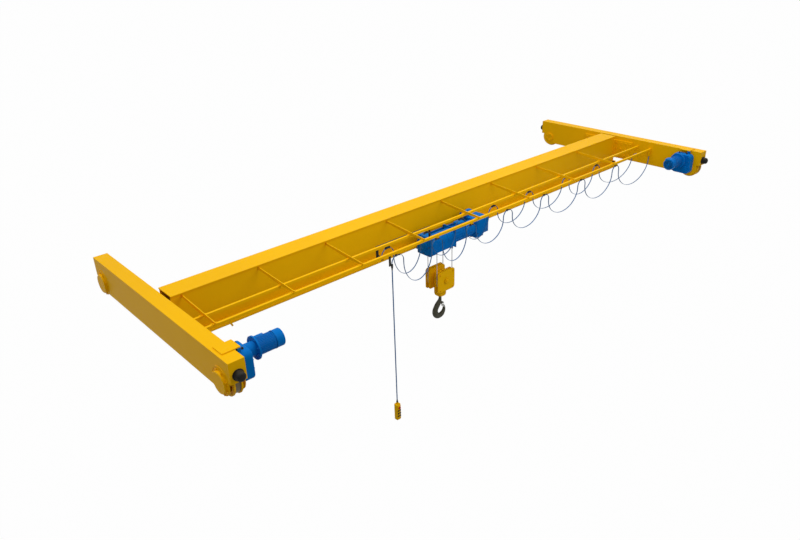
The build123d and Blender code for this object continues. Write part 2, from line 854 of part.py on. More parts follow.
def tow_arm():
    """The arm that tows the supply cable's leading trolley: a post on the gear housing, a bar
    behind the loops, a fork round the trolley's neck and a clamp for the cable's end."""
    bar_y = inner_rail_y + tow_arm_offset
    fork_top = rail_bottom - moving_gap
    bar_z = fork_top - tow_arm_size / 2
    lead = inner_stations[-1]
    post_x = hoist_left + tow_arm_size
    clamp_x = lead - saddle_radius
    clamp_end = clamp_x - clamp_box_size / 2
    reach = bar_y - inner_rail_y
    with BuildPart() as arm:
        with BuildSketch(level(post_x, bar_y, hoist_top)):
            Rectangle(tow_arm_size, tow_arm_size)
        extrude(amount=fork_top - hoist_top)
        with BuildSketch(across(clamp_end, bar_y, bar_z)):
            Rectangle(tow_arm_size, tow_arm_size)
        extrude(amount=post_x + tow_arm_size / 2 - clamp_end)
        offset_x = trolley_neck_length / 2 + moving_gap + fork_tine_width / 2
        for place in (lead - offset_x, lead + offset_x):
            with BuildSketch(facing_front(place, bar_y, fork_top - fork_tine_width / 2)):
                Rectangle(fork_tine_width, fork_tine_width)
            extrude(amount=reach + rail_width / 2)
        clamp_z = saddle_end - moving_gap - clamp_box_height / 2
        with BuildSketch(facing_front(clamp_x, bar_y + tow_arm_size / 2, clamp_z)):
            Rectangle(clamp_box_size, clamp_box_height)
        extrude(amount=reach + tow_arm_size / 2 + saddle_width / 2)
        with BuildSketch(level(clamp_x, bar_y, clamp_z)):
            Rectangle(clamp_box_size, tow_arm_size)
        extrude(amount=bar_z - clamp_z)
    return arm.part


def rope_falls():
    """Where the four falls hang: on both sides of each sheave."""
    return [
        (block_centre_x + across_x, block_centre_y + across_y)
        for across_y in (-sheave_plane_offset, sheave_plane_offset)
        for across_x in (-sheave_groove_radius - rope_radius, sheave_groove_radius + rope_radius)
    ]


def hoist_ropes():
    """The four falls, from the drum's casing to the height of the sheaves' axle."""
    with BuildPart() as ropes:
        for fall_x, fall_y in rope_falls():
            with BuildSketch(level(fall_x, fall_y, block_centre_z)):
                Circle(rope_radius)
            extrude(amount=drum_guide_bottom - block_centre_z)
    return ropes.part


def hook_block_covers():
    """The two rounded plates that guard the sheaves, on the ends of their axle."""
    with BuildPart() as covers:
        for toward in (-1, 1):
            face_y = block_centre_y + toward * block_half_thickness
            with BuildSketch(facing_front(block_centre_x, face_y, block_centre_z)):
                RectangleRounded(cover_width, cover_height, cover_corner)
            extrude(amount=toward * cover_thickness)
    return covers.part


def rope_sheaves():
    """The two grooved sheaves, with a bore for their axle."""
    groove_half = rope_radius + rope_fit_gap
    bore_radius = sheave_axle_radius + running_clearance
    bottom_radius = sheave_groove_radius - rope_fit_gap
    with BuildPart() as sheaves:
        for toward in (-1, 1):
            plane_y = block_centre_y + toward * sheave_plane_offset
            with BuildSketch(across(block_centre_x, plane_y, block_centre_z)):
                with BuildLine():
                    Polyline(
                        (-sheave_width / 2, bore_radius),
                        (-sheave_width / 2, sheave_radius),
                        (-groove_half, sheave_radius),
                        (-groove_half, bottom_radius),
                        (groove_half, bottom_radius),
                        (groove_half, sheave_radius),
                        (sheave_width / 2, sheave_radius),
                        (sheave_width / 2, bore_radius),
                        close=True,
                    )
                make_face()
            revolve(axis=Axis((block_centre_x, plane_y, block_centre_z), (0, 1, 0)))
    return sheaves.part


def hook_crosshead():
    """The body between the sheaves, with their axle, and the crosshead under it that carries the
    hook: its nut turns in the pocket, its shank in the bore."""
    body_depth = 2 * (sheave_plane_offset - sheave_width / 2 - sheave_side_gap)
    body_top = block_top - cheek_drop
    with BuildPart() as body:
        with BuildSketch(facing_front(block_centre_x, block_centre_y - body_depth / 2, 0)):
            with Locations((0, (body_top + crosshead_bottom) / 2)):
                RectangleRounded(cheek_width, body_top - crosshead_bottom, cheek_corner)
        extrude(amount=-body_depth)
        with BuildSketch(across(block_centre_x - cheek_width / 2, block_centre_y, crosshead_bottom)):
            with Locations((0, crosshead_height / 2)):
                RectangleRounded(crosshead_depth, crosshead_height, cheek_corner)
        extrude(amount=cheek_width)
        axle_half = block_half_thickness - cover_thickness
        with BuildSketch(facing_front(block_centre_x, block_centre_y - axle_half, block_centre_z)):
            Circle(sheave_axle_radius)
        extrude(amount=-2 * axle_half)
        with BuildSketch(level(block_centre_x, block_centre_y, crosshead_bottom)):
            Circle(hook_shank_radius + running_clearance)
        extrude(amount=crosshead_height / 2, mode=Mode.SUBTRACT)
        with BuildSketch(level(block_centre_x, block_centre_y, crosshead_bottom + crosshead_height / 2)):
            Circle(hook_nut_radius + running_clearance)
        extrude(amount=hook_nut_height + seat_gap, mode=Mode.SUBTRACT)
    return body.part


def load_hook():
    """The forged hook: nut, shank and a bowl that is thickest under the throat. Its outline seen
    from the front is cut by the one seen along X, which swells from the shank to the bowl."""
    neck_start = hook_throat_radius * hook_neck_cut_shares[1]
    bowl_bottom = -hook_body_drop - hook_body_radius
    with BuildPart() as hook:
        with BuildSketch(facing_front(block_centre_x, block_centre_y - hook_section / 2, hook_centre_z)):
            with Locations((-hook_body_shift, -hook_body_drop)):
                Circle(hook_body_radius)
            with Locations((0, hook_shoulder_height)):
                Circle(hook_shank_radius)
            make_hull()
            Circle(hook_throat_radius, mode=Mode.SUBTRACT)
            with BuildLine():
                Polyline(
                    (0, hook_throat_radius * hook_neck_cut_shares[0]),
                    (hook_throat_radius, 0),
                    (hook_throat_radius + hook_tip_spread, hook_tip_height - hook_tip_nose),
                    (hook_throat_radius + hook_tip_spread + hook_tip_nose, hook_tip_height),
                    (2 * hook_body_radius, hook_tip_height),
                    (2 * hook_body_radius, 2 * hook_body_radius),
                    (hook_shank_radius, 2 * hook_body_radius),
                    (hook_shank_radius, neck_start),
                    close=True,
                )
            make_face(mode=Mode.SUBTRACT)
        extrude(amount=-hook_section)
        bowl_edges = hook.faces().filter_by(Axis.Y).edges().filter_by(GeomType.CIRCLE)
        chamfer(bowl_edges.filter_by(lambda edge: edge.radius > 2 * hook_shank_radius), hook_edge)
        # Seen along X, the hook is as wide as its shank at the shoulder and full at the bowl.
        with BuildSketch(across(block_centre_x - 2 * hook_body_radius, block_centre_y, hook_centre_z)):
            with Locations((0, (bowl_bottom - hook_body_drop) / 2)):
                Rectangle(hook_section, hook_body_radius)
            with Locations((0, hook_shoulder_height)):
                Circle(hook_shank_radius)
            make_hull()
        extrude(amount=4 * hook_body_radius, mode=Mode.INTERSECT)
        with BuildSketch(facing_front(block_centre_x, block_centre_y - hook_ear_width / 2, hook_centre_z)):
            with Locations((hook_ear_x, hook_ear_z)):
                Circle(hook_ear_radius)
            with Locations((hook_ear_x / 2, hook_ear_z)):
                Rectangle(hook_ear_x, 2 * hook_ear_radius)
        extrude(amount=-hook_ear_width)
        shoulder_z = hook_centre_z + hook_shoulder_height
        with BuildSketch(level(block_centre_x, block_centre_y, shoulder_z)):
            Circle(hook_shank_radius)
        extrude(amount=crosshead_bottom + crosshead_height / 2 + seat_gap - shoulder_z)
        with BuildSketch(level(block_centre_x, block_centre_y, crosshead_bottom + crosshead_height / 2 + seat_gap)):
            Circle(hook_nut_radius)
        extrude(amount=hook_nut_height - seat_gap)
        with BuildSketch(
            facing_front(block_centre_x + hook_ear_x, block_centre_y - hook_section / 2, hook_centre_z + hook_ear_z)
        ):
            Circle(latch_pin_radius + running_clearance)
        extrude(amount=-hook_section, mode=Mode.SUBTRACT)
    return hook.part


def safety_latch():
    """The sprung latch across the hook's mouth: a pin through the ear, two cheeks and a tongue."""
    pin_plane_z = hook_centre_z + hook_ear_z
    cheek_y = hook_section / 2 + latch_cheek
    tip = Vector(latch_tip_x - hook_ear_x, latch_tip_z - hook_ear_z)
    along = tip.normalized()
    side = Vector(-along.Y, along.X) * (latch_thickness / 2)
    start = tip * latch_bridge_start_share
    with BuildPart() as latch:
        with BuildSketch(facing_front(block_centre_x + hook_ear_x, block_centre_y - cheek_y, pin_plane_z)):
            Circle(latch_pin_radius)
        extrude(amount=-2 * cheek_y)
        for face_y in (block_centre_y - cheek_y, block_centre_y + cheek_y - latch_cheek / 2):
            with BuildSketch(facing_front(block_centre_x + hook_ear_x, face_y, pin_plane_z)):
                Circle(latch_cheek_radius)
                with BuildLine():
                    outline = [along * 0 - side, tip - side, tip + side, along * 0 + side]
                    Polyline(*[(point.X, point.Y) for point in outline], close=True)
                make_face()
            extrude(amount=-latch_cheek / 2)
        with BuildSketch(facing_front(block_centre_x + hook_ear_x, block_centre_y - cheek_y, pin_plane_z)):
            with BuildLine():
                outline = [start - side, tip - side, tip + side, start + side]
                Polyline(*[(point.X, point.Y) for point in outline], close=True)
            make_face()
        extrude(amount=-2 * cheek_y)
    return latch.part


def pendant_trolley():
    """The trolley that carries the pendant: its bracket reaches under the leading trolley's saddle,
    where the cable passes down through a gland."""
    place = outer_stations[-1] - pendant_trolley_distance
    lip_top = rail_bottom + rail_wall + seat_gap
    bracket_left = place - trolley_neck_length / 2
    bracket_right = pendant_cable_x + pendant_gland_radius
    bracket_z = pendant_gland_top - pendant_bracket_height
    with BuildPart() as trolley:
        with BuildSketch(level(place, outer_rail_y, lip_top)):
            Rectangle(pendant_block_length, rail_width - 2 * (rail_wall + roller_side_gap))
        extrude(amount=roller_block_height)
        with BuildSketch(level(place, outer_rail_y, bracket_z)):
            Rectangle(trolley_neck_length, trolley_neck_width)
        extrude(amount=lip_top - bracket_z)
        with BuildSketch(level((bracket_left + bracket_right) / 2, outer_rail_y, bracket_z)):
            Rectangle(bracket_right - bracket_left, trolley_neck_width)
        extrude(amount=pendant_bracket_height)
        with BuildSketch(level(pendant_cable_x, outer_rail_y, pendant_gland_top - pendant_gland_height)):
            Circle(pendant_gland_radius)
        extrude(amount=pendant_gland_height)
    return trolley.part


def pendant_cable():
    with BuildPart() as cable:
        with BuildSketch(level(pendant_cable_x, outer_rail_y, pendant_cable_bottom)):
            Circle(pendant_cable_diameter / 2)
        extrude(amount=pendant_gland_top - pendant_gland_height - pendant_cable_bottom)
    return cable.part


def pendant_station():
    """The push-button station on the cable's end, with the gland it hangs by."""
    body_top = pendant_cable_bottom - pendant_gland_height
    with BuildPart() as station:
        with BuildSketch(level(pendant_cable_x, outer_rail_y, body_top - pendant_station_height)):
            RectangleRounded(pendant_station_width, pendant_station_depth, pendant_station_radius)
        extrude(amount=pendant_station_height)
        with BuildSketch(level(pendant_cable_x, outer_rail_y, body_top)):
            Circle(pendant_gland_radius)
        extrude(amount=pendant_gland_height)
    return station.part


os.makedirs("parts", exist_ok=True)

save(girder_top_plate(), "girder_top_plate")
save(girder_web(web_front), "girder_front_web")
save(girder_web(girder_centre_y + web_outer - web_thickness), "girder_back_web")
save(girder_bottom_flange(), "girder_bottom_flange")
save(girder_diaphragms(), "girder_diaphragms")
save(girder_end_plates(), "girder_end_plates")
save(carriage_head_plates(), "carriage_head_plates")
for side_name, side in sides.items():
    save(end_carriage(side), f"{side_name}_end_carriage")
    save(carriage_buffers(side), f"{side_name}_buffers")
    save(travel_gearcase(side), f"{side_name}_travel_gearcase")
    save(travel_motor(side), f"{side_name}_travel_motor")
    for end_name, end in ends.items():
        save(travel_wheel(side, end, end_name == "front"), f"{side_name}_{end_name}_wheel")

save(festoon_rail(inner_rail_y), "inner_festoon_rail")
save(festoon_rail(outer_rail_y), "outer_festoon_rail")
save(rail_arms(), "rail_arms")
save(festoon_end_clamps(), "festoon_end_clamps")
save(festoon_cable(inner_rail_y, inner_clamp_x, inner_stations, inner_loop_depths), "hoist_supply_cable")
save(festoon_cable(outer_rail_y, outer_clamp_x, outer_stations, outer_loop_depths), "pendant_supply_cable")
for row_name, rail_y, places in (("inner", inner_rail_y, inner_stations), ("outer", outer_rail_y, outer_stations)):
    for number, place in enumerate(places[:-1], start=1):
        save(cable_trolley(place, rail_y), f"{row_name}_cable_trolley_{number}")
    save(cable_trolley(places[-1], rail_y), f"{row_name}_leading_trolley")

save(trolley_plates(), "trolley_plates")
save(trolley_wheels(), "trolley_wheels")
save(trolley_cross_beams(), "trolley_cross_beams")
save(hoist_gear_housing(), "hoist_gear_housing")
save(hoist_drum_casing(), "hoist_drum_casing")
save(hoist_bearing_plate(), "hoist_bearing_plate")
save(hoist_motor(), "hoist_motor")
save(hoist_control_box(), "hoist_control_box")
save(trolley_drive(), "trolley_drive")
save(tow_arm(), "tow_arm")
save(hoist_ropes(), "hoist_ropes")
save(hook_block_covers(), "hook_block_covers")
save(rope_sheaves(), "rope_sheaves")
save(hook_crosshead(), "hook_crosshead")
save(load_hook(), "load_hook")
save(safety_latch(), "safety_latch")
save(pendant_trolley(), "pendant_trolley")
save(pendant_cable(), "pendant_cable")
save(pendant_station(), "pendant_station")
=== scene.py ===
# %% [markdown]
# This lesson dresses an overhead bridge crane: a yellow box girder between two end carriages, a
# blue rope hoist under it, a hook block on four rope falls, two rows of hanging cable loops and a
# push-button pendant. The solids come from CAD as a fixed frame. Blender adds finishes, cables,
# bolts and the rounded forms. Everything is in metres: X along the girder, Y along the runway,
# Z up from the top of the runway rails.

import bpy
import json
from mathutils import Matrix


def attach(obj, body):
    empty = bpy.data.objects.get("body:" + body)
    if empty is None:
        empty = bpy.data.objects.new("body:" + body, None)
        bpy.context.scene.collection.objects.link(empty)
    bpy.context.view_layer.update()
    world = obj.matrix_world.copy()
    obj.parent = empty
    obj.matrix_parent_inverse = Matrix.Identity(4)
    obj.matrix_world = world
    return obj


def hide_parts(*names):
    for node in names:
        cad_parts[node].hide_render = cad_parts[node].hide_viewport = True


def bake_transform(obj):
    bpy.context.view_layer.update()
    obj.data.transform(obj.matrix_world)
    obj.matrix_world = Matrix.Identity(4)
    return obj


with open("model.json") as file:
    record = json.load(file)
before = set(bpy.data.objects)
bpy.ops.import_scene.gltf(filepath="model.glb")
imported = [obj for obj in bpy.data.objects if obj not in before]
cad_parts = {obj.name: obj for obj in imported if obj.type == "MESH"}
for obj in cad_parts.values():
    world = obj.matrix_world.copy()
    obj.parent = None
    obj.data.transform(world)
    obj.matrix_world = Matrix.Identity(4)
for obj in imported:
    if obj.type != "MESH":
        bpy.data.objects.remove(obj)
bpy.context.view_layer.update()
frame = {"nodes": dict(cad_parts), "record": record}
nodes = frame["nodes"]

# %% Tools that the cells use
import json
from itertools import product
from math import cos, degrees, pi, radians, sin

import bmesh
import bpy
from mathutils import Matrix, Vector

scene = bpy.context.scene
scene.view_settings.view_transform = "Standard"


def link_object(name, data):
    thing = bpy.data.objects.new(name, data)
    scene.collection.objects.link(thing)
    return thing



# %% [markdown]
# The camera comes first, because every later choice is judged through it. The photograph looks
# down on the crane from its front left corner, above the girder. Its place and turn were found by
# fitting the straight edges of carriages, girder and rails, so they are plain numbers here.

# %% Camera at the photograph's view
camera_place = Vector((-6.866, -6.646, 3.920))
camera_heading = radians(41.42)
camera_dip = radians(26.11)
camera_roll = radians(1.88)
camera_lens = 30.90

camera = link_object("camera", bpy.data.cameras.new("camera"))
turn = Matrix.Rotation(-camera_heading, 4, "Z") @ Matrix.Rotation(pi / 2 - camera_dip, 4, "X")
camera.matrix_world = Matrix.Translation(camera_place) @ turn @ Matrix.Rotation(-camera_roll, 4, "Z")
camera.data.lens = camera_lens
camera.data.clip_end = 200.0
scene.camera = camera
print("the camera looks", round(degrees(camera_dip)), "degrees down through a", camera_lens, "mm lens")

# %% [markdown]
# A node tree is easier to read when one line adds a node, sets its options and joins its inputs.
# This helper does that. It is used by every material and node group below.

# %% A helper that adds and joins nodes
def add_node(tree, kind, inputs=None, **options):
    node = tree.nodes.new(kind)
    for name, value in options.items():
        setattr(node, name, value)
    for name, value in (inputs or {}).items():
        if isinstance(value, bpy.types.NodeSocket):
            tree.links.new(value, node.inputs[name])
        else:
            node.inputs[name].default_value = value
    return node


def math_node(tree, operation, first, second=0.0, clamp=False):
    inputs = {0: first, 1: second}
    return add_node(tree, "ShaderNodeMath", inputs, operation=operation, use_clamp=clamp).outputs[0]


def noise(tree, vector, size, detail, roughness=0.5):
    inputs = {"Vector": vector, "Scale": size, "Detail": detail, "Roughness": roughness}
    return add_node(tree, "ShaderNodeTexNoise", inputs).outputs["Fac"]


def display_colour(red, green, blue):
    """A colour as a screen shows it, from 0 to 255, turned into the linear colour that nodes want."""
    shares = [value / 255 for value in (red, green, blue)]
    linear = [share / 12.92 if share <= 0.04045 else ((share + 0.055) / 1.055) ** 2.4 for share in shares]
    return (*linear, 1.0)


# %% [markdown]
# The photograph stands on plain white without a visible ground. The floor is a wide disc below
# the hook's lowest place. Camera, mirror and glass rays mostly see it as white, and the small rest of
# its surface is an ordinary matt one, which keeps a faint shadow. The world does the same.

# %% Floor
floor_drop = -8.0
floor_radius = 200.0
floor_white_share = 0.985
floor_grey = display_colour(150, 150, 150)

floor_shape = bmesh.new()
floor_place = Matrix.Translation((0, 0, floor_drop))
bmesh.ops.create_circle(floor_shape, cap_ends=True, segments=64, radius=floor_radius, matrix=floor_place)
floor_mesh = bpy.data.meshes.new("floor")
floor_shape.to_mesh(floor_mesh)
floor_shape.free()
floor = link_object("floor", floor_mesh)


def white_ray_share(tree, share):
    """The share of white that camera, mirror and glass rays see, and no share for all others."""
    path = tree.nodes.new("ShaderNodeLightPath")
    seen = math_node(tree, "MAXIMUM", path.outputs["Is Camera Ray"], path.outputs["Is Glossy Ray"])
    seen = math_node(tree, "MAXIMUM", seen, path.outputs["Is Transmission Ray"])
    return math_node(tree, "MULTIPLY", seen, share)


floor_finish = bpy.data.materials.new("pale_floor")
floor_finish.use_nodes = True
floor_tree = floor_finish.node_tree
floor_tree.nodes.clear()
matt = add_node(floor_tree, "ShaderNodeBsdfDiffuse", {"Color": floor_grey})
white = add_node(floor_tree, "ShaderNodeEmission", {"Strength": 1.0})
floor_mix = add_node(
    floor_tree,
    "ShaderNodeMixShader",
    {0: white_ray_share(floor_tree, floor_white_share), 1: matt.outputs[0], 2: white.outputs[0]},
)
add_node(floor_tree, "ShaderNodeOutputMaterial", {"Surface": floor_mix.outputs[0]})
floor_mesh.materials.append(floor_finish)
print("the floor lies", floor_drop, "m below the rails")

# %% [markdown]
# Light in the photograph is soft and comes mostly from above. Top faces show the paint as it is,
# the girder's side is a little over half as bright, and the carriage's far side is darker still.
# One soft sun stands behind the girder, so its front web and the bottom flange lie in shade. A large
# lamp in front of the middle brightens what faces the camera, and an even grey world fills the rest.

# %% Light
world_grey = 0.40
sun_strength = 1.60
sun_turn = (radians(-22), radians(-4), 0)
sun_softness = radians(30)
full_white = (1.0, 1.0, 1.0, 1.0)
front_lamp_place = Vector((0.0, -4.2, 4.2))
front_lamp_size = 5.0
front_lamp_power = 150.0

world = bpy.data.worlds.new("studio")
scene.world = world
world.use_nodes = True
world_tree = world.node_tree
world_tree.nodes.clear()
ambient = add_node(world_tree, "ShaderNodeBackground", {"Color": full_white, "Strength": world_grey})
plain_white = add_node(world_tree, "ShaderNodeBackground", {"Color": full_white, "Strength": 1.0})
world_mix = add_node(
    world_tree,
    "ShaderNodeMixShader",
    {0: white_ray_share(world_tree, 1.0), 1: ambient.outputs[0], 2: plain_white.outputs[0]},
)
add_node(world_tree, "ShaderNodeOutputWorld", {"Surface": world_mix.outputs[0]})

sun = link_object("sun", bpy.data.lights.new("sun", "SUN"))
sun.data.energy = sun_strength
sun.data.angle = sun_softness
sun.rotation_euler = sun_turn

front_lamp = link_object("front_lamp", bpy.data.lights.new("front_lamp", "AREA"))
front_lamp.data.size = front_lamp_size
front_lamp.data.energy = front_lamp_power
front_lamp.location = front_lamp_place
front_lamp.rotation_mode = "QUATERNION"
front_lamp.rotation_quaternion = (-front_lamp_place).to_track_quat("-Z", "Y")
print("a sun of strength", sun_strength, "and a lamp of", front_lamp_power, "watts")

# %% [markdown]
# Several finishes share the same small effects, so each effect is a node group that is built once.
# The first is edge wear. A Bevel node returns a rounded normal near an edge, and the more it
# differs from the real normal, the nearer the edge is. Noise breaks that line up into chips.

# %% Start of a node group
def new_group(name, inputs, outputs):
    group = bpy.data.node_groups.new(name, "ShaderNodeTree")
    for label, value in inputs.items():
        kind = "NodeSocketVector" if label == "Normal" else "NodeSocketFloat"
        socket = group.interface.new_socket(label, in_out="INPUT", socket_type=kind)
        if label != "Normal":
            socket.default_value = value
    for label, kind in outputs.items():
        group.interface.new_socket(label, in_out="OUTPUT", socket_type=kind)
    return group, group.nodes.new("NodeGroupInput"), group.nodes.new("NodeGroupOutput")


# %% Edge wear group
wear_group, wear_in, wear_out = new_group(
    "edge_wear", {"Width": 0.003, "Chip Size": 40.0, "Amount": 0.5}, {"Mask": "NodeSocketFloat"}
)
rounded = add_node(wear_group, "ShaderNodeBevel", {"Radius": wear_in.outputs["Width"]}, samples=4)
real = wear_group.nodes.new("ShaderNodeNewGeometry")
facing = add_node(
    wear_group,
    "ShaderNodeVectorMath",
    {0: rounded.outputs["Normal"], 1: real.outputs["Normal"]},
    operation="DOT_PRODUCT",
)
nearness = math_node(wear_group, "SUBTRACT", 1.0, facing.outputs["Value"])
place = wear_group.nodes.new("ShaderNodeTexCoord")
chips = noise(wear_group, place.outputs["Object"], wear_in.outputs["Chip Size"], 4.0, 0.7)
edge_line = math_node(wear_group, "MULTIPLY", nearness, 6.0, clamp=True)
chip_level = math_node(wear_group, "SUBTRACT", chips, 0.42)
chip_mask = math_node(wear_group, "MULTIPLY", chip_level, 6.0, clamp=True)
chipped = math_node(wear_group, "MULTIPLY", edge_line, chip_mask)
worn = math_node(wear_group, "MULTIPLY", chipped, wear_in.outputs["Amount"], clamp=True)
wear_group.links.new(worn, wear_out.inputs["Mask"])

# %% [markdown]
# Sprayed paint isn't flat: a faint orange peel catches the light, large areas drift a little in
# tone, and dirt runs down upright plates. One group gives all three, from Object coordinates, so
# the pattern has its real size on every plate.

# %% Paint film group
film_group, film_in, film_out = new_group(
    "paint_film",
    {"Peel Size": 160.0, "Drift Size": 1.3},
    {"Peel": "NodeSocketFloat", "Drift": "NodeSocketFloat", "Streaks": "NodeSocketFloat"},
)
place = film_group.nodes.new("ShaderNodeTexCoord")
spot = place.outputs["Object"]
peel = noise(film_group, spot, film_in.outputs["Peel Size"], 2.0)
drift = noise(film_group, spot, film_in.outputs["Drift Size"], 3.0)
narrowed = add_node(film_group, "ShaderNodeMapping", {"Vector": spot, "Scale": (14.0, 14.0, 0.9)})
streaks = noise(film_group, narrowed.outputs["Vector"], 1.0, 4.0)
streak_level = math_node(film_group, "SUBTRACT", streaks, 0.5)
streak_mask = math_node(film_group, "MULTIPLY", streak_level, 3.0, clamp=True)
film_group.links.new(peel, film_out.inputs["Peel"])
film_group.links.new(drift, film_out.inputs["Drift"])
film_group.links.new(streak_mask, film_out.inputs["Streaks"])

# %% [markdown]
# Dust settles on what faces up, thicker in some places than in others. The group compares the
# normal with the vertical and multiplies by noise.

# %% Dust group
dust_group, dust_in, dust_out = new_group(
    "dust", {"Amount": 0.2, "Patch Size": 5.0}, {"Mask": "NodeSocketFloat"}
)
real = dust_group.nodes.new("ShaderNodeNewGeometry")
upright = add_node(dust_group, "ShaderNodeSeparateXYZ", {"Vector": real.outputs["Normal"]})
upward = math_node(dust_group, "MAXIMUM", upright.outputs["Z"], 0.0)
level_share = math_node(dust_group, "POWER", upward, 3.0)
place = dust_group.nodes.new("ShaderNodeTexCoord")
patches = noise(dust_group, place.outputs["Object"], dust_in.outputs["Patch Size"], 5.0, 0.65)
settled = math_node(dust_group, "MULTIPLY", level_share, patches)
settled = math_node(dust_group, "MULTIPLY", settled, dust_in.outputs["Amount"], clamp=True)
dust_group.links.new(settled, dust_out.inputs["Mask"])


def place_group(tree, group, **values):
    node = tree.nodes.new("ShaderNodeGroup")
    node.node_tree = group
    for label, value in values.items():
        node.inputs[label.replace("_", " ").title()].default_value = value
    return node


def mix_colour(tree, share, first, second):
    node = tree.nodes.new("ShaderNodeMix")
    node.data_type = "RGBA"
    for socket, value in ((node.inputs["Factor"], share), (node.inputs[6], first), (node.inputs[7], second)):
        if isinstance(value, bpy.types.NodeSocket):
            tree.links.new(value, socket)
        else:
            socket.default_value = value
    return node.outputs[2]


# %% [markdown]
# All finishes begin and end alike. They begin with a paint film that drifts between two tones, and
# end with a colour, a roughness that a mask raises, and a bump from the film's grain.

# %% What every finish shares
def start_finish(name, drift_size, peel_size):
    finish = bpy.data.materials.new(name)
    finish.use_nodes = True
    tree = finish.node_tree
    film = place_group(tree, film_group, drift_size=drift_size, peel_size=peel_size)
    return finish, tree, tree.nodes["Principled BSDF"], film


def end_finish(finish, colour, film, gloss, rough_mask, rough_gain, bump_strength, bump_height):
    tree = finish.node_tree
    coat = tree.nodes["Principled BSDF"]
    tree.links.new(colour, coat.inputs["Base Color"])
    roughness = math_node(tree, "MULTIPLY_ADD", rough_mask, rough_gain)
    roughness.node.inputs[2].default_value = gloss
    tree.links.new(roughness, coat.inputs["Roughness"])
    relief = {"Height": film.outputs["Peel"], "Strength": bump_strength, "Distance": bump_height}
    bump = add_node(tree, "ShaderNodeBump", relief)
    tree.links.new(bump.outputs["Normal"], coat.inputs["Normal"])
    print("finish", finish.name)
    return finish


# %% [markdown]
# A painted steel finish: colour with a slight drift, darker streaks, chips down to primer
# or steel on the edges, a little dust on top, and a semi-gloss coat over orange peel. The same
# recipe makes the yellow structure, the blue drives and the dark trolley, with other values.

# %% Painted steel
paint_sheen = 0.03
dust_colour = display_colour(196, 186, 168)


def painted_steel(name, colour, shade, chip_colour, gloss, chips):
    colour, shade, chip_colour = (display_colour(*parts) for parts in (colour, shade, chip_colour))
    finish, tree, coat, film = start_finish(name, 1.3, 160.0)
    wear = place_group(tree, wear_group, width=0.004, chip_size=55.0, amount=chips)
    dust = place_group(tree, dust_group, amount=0.01, patch_size=4.0)
    drifted = mix_colour(tree, film.outputs["Drift"], shade, colour)
    streaked = mix_colour(tree, math_node(tree, "MULTIPLY", film.outputs["Streaks"], 0.10), drifted, shade)
    worn = mix_colour(tree, wear.outputs["Mask"], streaked, chip_colour)
    dusty = mix_colour(tree, dust.outputs["Mask"], worn, dust_colour)
    coat.inputs["Specular IOR Level"].default_value = paint_sheen
    return end_finish(finish, dusty, film, gloss, dust.outputs["Mask"], 0.5, 0.35, 0.0002)


crane_yellow = painted_steel("crane_yellow", (252, 193, 2), (243, 182, 2), (150, 118, 60), 0.42, 0.35)
drive_blue = painted_steel("drive_blue", (0, 118, 204), (0, 106, 186), (120, 140, 155), 0.40, 0.30)
trolley_dark = painted_steel("trolley_dark", (62, 62, 56), (48, 50, 46), (120, 118, 110), 0.50, 0.6)
pendant_yellow = painted_steel("pendant_yellow", (250, 196, 10), (242, 186, 8), (240, 200, 80), 0.45, 0.1)

# %% [markdown]
# Bare metal and rubber use the same groups. Wheel treads are rolled bright, the hook is dark
# forged iron with a grainy skin, ropes and pins are plain steel.

# %% Bare metal
worn_metal_colour = display_colour(190, 188, 182)


def bare_metal(name, colour, shade, gloss, skin_size, skin_height, metallic):
    colour, shade = display_colour(*colour), display_colour(*shade)
    finish, tree, coat, film = start_finish(name, 6.0, skin_size)
    wear = place_group(tree, wear_group, width=0.003, chip_size=90.0, amount=0.5)
    toned = mix_colour(tree, film.outputs["Drift"], shade, colour)
    grained = mix_colour(tree, math_node(tree, "MULTIPLY", film.outputs["Peel"], 0.35), toned, shade)
    worn = mix_colour(tree, wear.outputs["Mask"], grained, worn_metal_colour)
    coat.inputs["Metallic"].default_value = metallic
    return end_finish(finish, worn, film, gloss, film.outputs["Peel"], 0.2, 0.6, skin_height)


wheel_steel = bare_metal("wheel_steel", (120, 104, 74), (78, 68, 48), 0.42, 220.0, 0.0002, 0.6)
hook_iron = bare_metal("hook_iron", (58, 56, 34), (40, 38, 22), 0.46, 130.0, 0.0008, 0.35)
latch_steel = bare_metal("latch_steel", (176, 176, 172), (140, 140, 136), 0.30, 240.0, 0.0001, 0.9)
rope_steel = bare_metal("rope_steel", (168, 170, 172), (120, 122, 124), 0.36, 300.0, 0.0002, 0.8)

# %% Rubber and sheath
soft_sheen = 0.15
soft_dust_colour = display_colour(150, 144, 132)


def soft_coat(name, colour, shade, gloss, grain_size, grain_height):
    finish, tree, coat, film = start_finish(name, 9.0, grain_size)
    dust = place_group(tree, dust_group, amount=0.25, patch_size=14.0)
    toned = mix_colour(tree, film.outputs["Drift"], display_colour(*shade), display_colour(*colour))
    dusty = mix_colour(tree, dust.outputs["Mask"], toned, soft_dust_colour)
    coat.inputs["Specular IOR Level"].default_value = soft_sheen
    return end_finish(finish, dusty, film, gloss, film.outputs["Peel"], 0.15, 0.5, grain_height)


black_rubber = soft_coat("black_rubber", (24, 23, 20), (15, 14, 12), 0.55, 300.0, 0.0003)
cable_sheath = soft_coat("cable_sheath", (66, 118, 172), (54, 100, 150), 0.45, 260.0, 0.0002)

# %% [markdown]
# Each CAD node gets its finish by name. The node's object stays where it is, and only its material
# slot changes.

